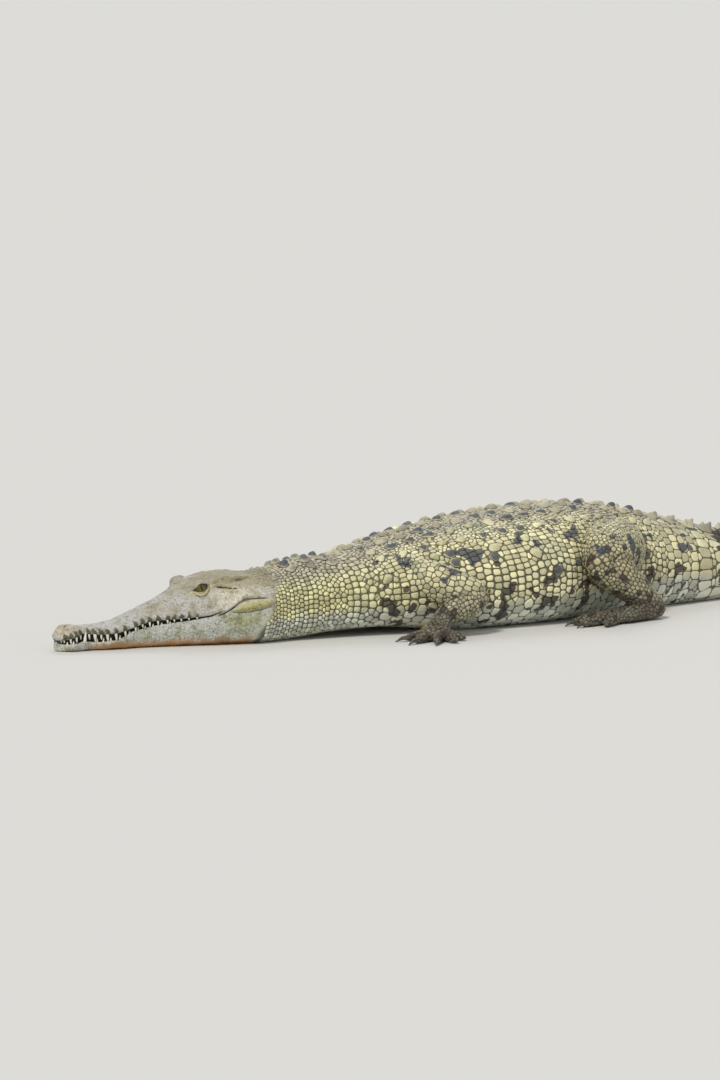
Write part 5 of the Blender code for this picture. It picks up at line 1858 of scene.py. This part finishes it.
def faceGroup():
    # the tints, specks and fine cracks of the head, and painted shade in folds and wrinkles, laid over the
    # colour of the hide
    inputs = [("Color", "Color")] + [(name.capitalize(), "Float") for name in faceMasks]
    group, given, out = newGroup("face", inputs, [("Color", "Color"), ("Height", "Float")])
    where = objectPlace(group)
    bent = newNode(group, "ShaderNodeVectorMath", operation="MULTIPLY_ADD")
    warp = newNode(group, "ShaderNodeTexNoise")
    warp.inputs["Scale"].default_value = 120.0
    feed(group, warp.inputs["Vector"], where)
    feed(group, bent.inputs[0], warp.outputs["Color"])
    bent.inputs[1].default_value = (0.006, 0.006, 0.006)
    feed(group, bent.inputs[2], where)
    cracks = cellsOf(group, bent.outputs[0], 210.0)
    dots = cellsOf(group, bent.outputs[0], 380.0, "F1")
    blots = noiseOf(group, where, 48.0, 4.0)
    grit = noiseOf(group, where, 190.0, 3.0)
    fine = noiseOf(group, where, 620.0, 2.0)
    flecks = product(group, ranged(group, dots, 0.18, 0.34, 0.85, 0.0), ranged(group, grit, 0.44, 0.54))
    flecks = worked(group, "MAXIMUM", flecks, ranged(group, fine, 0.59, 0.67, 0.0, 0.70))
    color = given["Color"]
    # from the lowest layer to the top: (mask, how much of it or what it ranges between, tint)
    for mask, amount, tint in (
        ("Crown", 0.90, (0.33, 0.28, 0.145)),
        ("Tip", 0.60, (0.70, 0.58, 0.40)),
        ("Cheek", 0.65, (0.84, 0.76, 0.56)),
        ("Jaw", 0.60, (0.64, 0.68, 0.60)),
        ("Green", ranged(group, blots, 0.30, 0.62, 0.35, 1.0), (0.34, 0.38, 0.13)),
        ("Pad", (0.1, 0.9, 0.0, 0.88), (0.48, 0.43, 0.14)),
        ("Face", ranged(group, blots, 0.47, 0.66, 0.0, 0.72), (0.31, 0.29, 0.17)),
        ("Face", ranged(group, grit, 0.52, 0.68, 0.0, 0.60), (0.24, 0.21, 0.13)),
        ("Face", ranged(group, cracks, 0.02, 0.10, 0.26, 0.0), (0.18, 0.15, 0.09)),
        ("Face", flecks, (0.050, 0.043, 0.030)),
        # orange along the bottom of the face, near the floor
        ("Lowband", 0.92, (0.46, 0.225, 0.065)),
        # painted shade in the folds, grooves and wrinkles
        ("Fold", (0.20, 0.85, 0.0, 0.85), (0.060, 0.050, 0.030)),
    ):
        ramp = isinstance(amount, tuple)
        share = ranged(group, given[mask], *amount) if ramp else product(group, given[mask], amount)
        color = blended(group, share, color, tint)
    group.links.new(color, out["Color"])
    rough = product(group, ranged(group, cracks, 0.0, 0.12), product(group, given["Face"], 0.4))
    group.links.new(rough, out["Height"])
    return group


def hideOnMaterial(name, group, overlay):
    # a material with the hide and the head's tints; the caller may lay more over the colour
    material, tree, shader = startMaterial(name)
    hide = hideNode(tree, group)
    over = newNode(tree, "ShaderNodeGroup")
    over.node_tree = overlay
    tree.links.new(hide.outputs["Color"], over.inputs["Color"])
    for fact in faceMasks:
        tree.links.new(readFact(tree, fact), over.inputs[fact.capitalize()])
    tree.links.new(hide.outputs["Roughness"], shader.inputs["Roughness"])
    shader.inputs["Specular IOR Level"].default_value = 0.45
    bumped(tree, shader, worked(tree, "ADD", hide.outputs["Height"], over.outputs["Height"]), 0.35, 0.0012)
    return material, tree, shader, over.outputs["Color"]


def skinMaterial(group, overlay):
    material, tree, shader, color = hideOnMaterial("skinHide", group, overlay)
    stained = shifted(tree, readFact(tree, "stain"), noiseOf(tree, objectPlace(tree), 190.0), 0.9)
    for mask, low, high, most, tint in (
        (stained, 0.20, 0.60, 0.93, (0.050, 0.052, 0.016)),
        (readFact(tree, "lid"), 0.20, 0.80, 0.85, (0.66, 0.56, 0.26)),
        # painted shade, nearly black, in the groove of the mouth, the ear slot, the nostrils and the creases of
        # the lids
        (readFact(tree, "hollowShade"), 0.25, 0.75, 0.96, (0.014, 0.012, 0.009)),
    ):
        color = blended(tree, ranged(tree, mask, low, high, 0.0, most), color, tint)
    tree.links.new(color, shader.inputs["Base Color"])
    return material


print("skin tree")
skinTree = treeOf(skin.data)
print("seeds")
seedNeck()
seedTrunk()
seedTail()
seedLimbs(parts)
seedHead()
print(len(seeds["at"]), "places for scales")
grown = settleSeeds(skinTree)
print(len(grown["at"]), "scales kept")
fillBare(grown, skin)
coat = buildScales(grown, skinTree, parts)
print("markings")
markSkin(skin, parts)
hide, faceTints = hideGroup(), faceGroup()
coatHide, tree, shader, color = hideOnMaterial("scaleHide", hide, faceTints)
tree.links.new(color, shader.inputs["Base Color"])
for piece in coat:
    piece.data.materials.append(coatHide)
skin.data.materials.clear()
skin.data.materials.append(skinMaterial(hide, faceTints))


def buildTeeth():
    least, most = teeth["thickness"]
    rootLean, tipLean = teeth["lean"]
    made = []
    for upper, name in ((True, "teethUpper"), (False, "teethLower")):
        sign = 1 if upper else -1
        tubes = []
        for mirror in (1, -1):
            for s, reach in toothPlaces(upper):
                reach = max(reach, teeth["shortest"])
                gape = float(headAt["mouthOpen"](s))
                lip = float(headAt["lipSide"](s)) - (0 if upper else float(headAt["jawInset"](s)))
                side = min(lip - teeth["inset"], teeth["front"] * (s - head["tip"]))
                gumZ = float(headAt["mouthHeight"](s)) + sign * gape / 2
                length = reach / (1 - teeth["root"])
                t = np.linspace(0, 1, teeth["rings"])
                down = (t - teeth["root"]) * length
                bend = teeth["bend"] * reach * t ** 2
                lean = rootLean * length * np.maximum(teeth["root"] - t, 0)
                lean += tipLean * reach * np.maximum(t - 0.5, 0)
                middles = fromHead(np.stack([s + bend, mirror * (side - lean), gumZ - sign * down], -1))
                half = min(most, max(least, teeth["slender"] * reach)) * rng.uniform(0.92, 1.08)
                profile = np.maximum(np.sqrt(np.clip(1 - t ** 1.9, 0, 1)), 0.06) * half
                tubes.append([ringOf(middle, headFrame[0], headFrame[1], wide, 0.85 * wide, teeth["sides"])
                              for middle, wide in zip(middles, profile)])
        piece = objectOf(name, tubeMesh(name, tubes))
        handOver(piece, "tooth")
        made.append(piece)
    return made


def toothMaterial():
    material, tree, shader = startMaterial("tooth")
    streaks = noiseOf(tree, objectPlace(tree), 260.0)
    stained = ranged(tree, streaks, 0.45, 0.75, 0.0, 0.55)
    color = blended(tree, stained, (0.84, 0.81, 0.70), (0.55, 0.46, 0.26))
    tree.links.new(color, shader.inputs["Base Color"])
    shader.inputs["Roughness"].default_value = 0.28
    return material


ball = {
    "around": 56,
    "rings": 30,
    "reach": 1.35,  # radians from the middle of the pupil to the rim of the built part
    "cornea": 0.0011,
    "corneaHalf": 0.0085,
    "pupil": (0.0011, 0.0062),
    "iris": 0.0092,
}


def buildEye(sideName, mirror):
    middle, looks, along, up = eyeFrame(mirror)
    radius = eyes["radius"] - 0.0001
    rings, x, y = [], [], []
    turns = np.linspace(0, 2 * math.pi, ball["around"], endpoint=False)
    angles = np.concatenate([np.linspace(0.015, ball["reach"], ball["rings"]), [2.2, 3.0]])
    for angle in angles:
        reach = radius * angle
        out = radius + ball["cornea"] * math.exp(-((reach / ball["corneaHalf"]) ** 4))
        ways = (math.cos(angle) * looks[None] + math.sin(angle) * (np.outer(np.cos(turns), along)
                                                                  + np.outer(np.sin(turns), up)))
        rings.append(fromHead(middle + ways * out))
        x.append(reach * np.cos(turns))
        y.append(reach * np.sin(turns))
    name = "eyeBall" + sideName
    mesh = tubeMesh(name, [rings])
    setFacts(mesh, {"eyeX": np.concatenate(x), "eyeY": np.concatenate(y)})
    piece = objectOf(name, mesh)
    handOver(piece, "eye", "eye_" + sideName.lower())
    return piece


def eyeMaterial():
    material, tree, shader = startMaterial("eye")
    x, y = readFact(tree, "eyeX"), readFact(tree, "eyeY")
    reach = worked(tree, "SQRT", worked(tree, "ADD", product(tree, x, x), product(tree, y, y)))
    flecks = noiseOf(tree, objectPlace(tree), 700.0, 4.0)
    iris = blended(tree, ranged(tree, flecks, 0.35, 0.65), (0.075, 0.062, 0.012), (0.17, 0.135, 0.032))
    darker = ranged(tree, reach, 0.55 * ball["iris"], ball["iris"], 0.0, 0.75)
    iris = blended(tree, darker, iris, (0.045, 0.038, 0.012))
    white = blended(tree, ranged(tree, flecks, 0.4, 0.7), (0.060, 0.055, 0.020), (0.14, 0.12, 0.05))
    color = blended(tree, ranged(tree, reach, ball["iris"], ball["iris"] * 1.12), iris, white)
    across, along = (worked(tree, "POWER", worked(tree, "ABSOLUTE", worked(tree, "DIVIDE", off, half)), power)
                     for off, half, power in zip((x, y), ball["pupil"], (1.4, 2.0)))
    slit = ranged(tree, worked(tree, "ADD", across, along), 0.8, 1.25, 1.0, 0.0)
    color = blended(tree, slit, color, (0.004, 0.004, 0.003))
    tree.links.new(color, shader.inputs["Base Color"])
    shader.inputs["Roughness"].default_value = 0.06
    shader.inputs["IOR"].default_value = 1.38
    return material


claw = {
    # (share of the length, half width and half height as shares of the radius)
    "rows": ((-0.35, 0.80, 0.85), (-0.05, 0.95, 0.95), (0.25, 0.86, 0.80), (0.55, 0.62, 0.58),
             (0.80, 0.38, 0.36), (0.95, 0.20, 0.18), (1.0, 0.07, 0.07)),
    "length": 0.019,
    "radius": 0.0043,
    "height": 0.0068,
    "arch": 0.0022,
    "tipHeight": 0.0018,
    "leaves": 0.15,  # share of the length where it leaves the toe
    "floorGap": 0.0003,
    "sides": 16,
    "steps": 17,
}


def buildClaws(limb, sideName, mirror, shift):
    own = digits[limb]
    t = np.linspace(claw["rows"][0][0], 1.0, claw["steps"])
    wide = through([(row[0], row[1]) for row in claw["rows"]])(t) * claw["radius"]
    high = through([(row[0], row[2]) for row in claw["rows"]])(t) * claw["radius"]
    past = (t - claw["leaves"]) / (1 - claw["leaves"])
    z = claw["height"] - claw["arch"] * past ** 2
    z -= (claw["height"] - claw["tipHeight"]) * np.clip(past, 0, 1) ** 1.7
    z = np.maximum(z, high + claw["floorGap"] + 0.0001)
    tubes = []
    for tip in own["tips"][:digits["clawed"]]:
        root, end = np.array(own["root"]), np.array(tip)
        way = (end - root) / np.linalg.norm(end - root)
        flat = end + np.outer(t * claw["length"], way)
        middles = place(flat[:, 0] + shift, mirror * flat[:, 1], z)
        _, across, rise = framesAlong(middles)
        tubes.append([ringOf(*ring, claw["sides"]) for ring in zip(middles, across, rise, wide, high)])
    name = "claws" + limb.capitalize() + sideName
    piece = objectOf(name, tubeMesh(name, tubes))
    liftPoints(piece.data, claw["floorGap"])
    handOver(piece, "claw", *[f"claw_{limb}_{sideName.lower()}_{n + 1}" for n in range(digits["clawed"])])
    return piece


def clawMaterial():
    material, tree, shader = startMaterial("claw")
    streaks = noiseOf(tree, objectPlace(tree), 320.0, 4.0)
    color = blended(tree, ranged(tree, streaks, 0.40, 0.68), (0.045, 0.040, 0.034), (0.19, 0.165, 0.13))
    tree.links.new(color, shader.inputs["Base Color"])
    shader.inputs["Roughness"].default_value = 0.38
    bumped(tree, shader, streaks, 0.25, 0.0006)
    return material


print("teeth, eyes and claws")
ivory = toothMaterial()
for piece in buildTeeth():
    piece.data.materials.append(ivory)
eyeLook = eyeMaterial()
for sideName, mirror in (("Left", 1), ("Right", -1)):
    buildEye(sideName, mirror).data.materials.append(eyeLook)
horn = clawMaterial()
for limb, shift in (("hand", limbs["rightShift"]["arm"]), ("foot", limbs["rightShift"]["leg"])):
    for sideName, mirror, ownShift in (("Left", 1, 0.0), ("Right", -1, shift)):
        buildClaws(limb, sideName, mirror, ownShift).data.materials.append(horn)


setting = {
    "azimuth": -38.0,
    "elevation": 6.2,
    "lens": 187,
    "distance": 9.98,
    "aim": (0.6296, -0.0153, 0.1585),  # s, side and z that the camera points at
    "floorHalf": 160.0,
    "sky": ((0.90, 0.95, 1.0), 0.50),
    # (name, azimuth, elevation, strength, spread, colour)
    "lights": (("key", -62, 48, 1.85, 10, (1.0, 0.97, 0.92)), ("back", 140, 40, 0.55, 30, (0.95, 0.97, 1.0))),
}


def plainMaterial(name, colour, roughness):
    material = bpy.data.materials.new(name)
    material.use_nodes = True
    shader = material.node_tree.nodes["Principled BSDF"]
    shader.inputs["Base Color"].default_value = (*colour, 1.0)
    shader.inputs["Roughness"].default_value = roughness
    return material


def buildFloor():
    half = setting["floorHalf"]
    mesh = bpy.data.meshes.new("floor")
    corners = [(-half, -half, 0), (half, -half, 0), (half, half, 0), (-half, half, 0)]
    mesh.from_pydata(corners, [], [(0, 1, 2, 3)])
    floor = objectOf("floor", mesh)
    floor.data.materials.append(plainMaterial("floorPale", (0.72, 0.70, 0.66), 0.9))


def wayTo(azimuth, elevation):
    # from the animal towards the camera or a light
    azimuth, elevation = math.radians(azimuth), math.radians(elevation)
    flat = math.cos(elevation)
    return Vector((math.sin(azimuth) * flat, -math.cos(azimuth) * flat, math.sin(elevation)))


def addLight(name, azimuth, elevation, strength, spread, colour):
    # a broad even light from far off
    data = bpy.data.lights.new(name, "SUN")
    data.energy = strength
    data.angle = math.radians(spread)
    data.color = colour
    light = bpy.data.objects.new(name, data)
    bpy.context.scene.collection.objects.link(light)
    light.rotation_euler = (-wayTo(azimuth, elevation)).to_track_quat("-Z", "Y").to_euler()


def buildLights():
    world = bpy.data.worlds.new("studio")
    world.use_nodes = True
    colour, strength = setting["sky"]
    background = world.node_tree.nodes["Background"]
    background.inputs["Color"].default_value = (*colour, 1.0)
    background.inputs["Strength"].default_value = strength
    bpy.context.scene.world = world
    for light in setting["lights"]:
        addLight(*light)


def buildCamera():
    back = wayTo(setting["azimuth"], setting["elevation"])
    data = bpy.data.cameras.new("camera")
    data.lens = setting["lens"]
    data.clip_end = 400
    camera = bpy.data.objects.new("camera", data)
    bpy.context.scene.collection.objects.link(camera)
    camera.location = Vector(place(*setting["aim"])) + back * setting["distance"]
    camera.rotation_euler = (-back).to_track_quat("-Z", "Y").to_euler()
    bpy.context.scene.camera = camera


print("stage")
buildFloor()
buildLights()
buildCamera()
bpy.context.scene.view_settings.view_transform = "Standard"
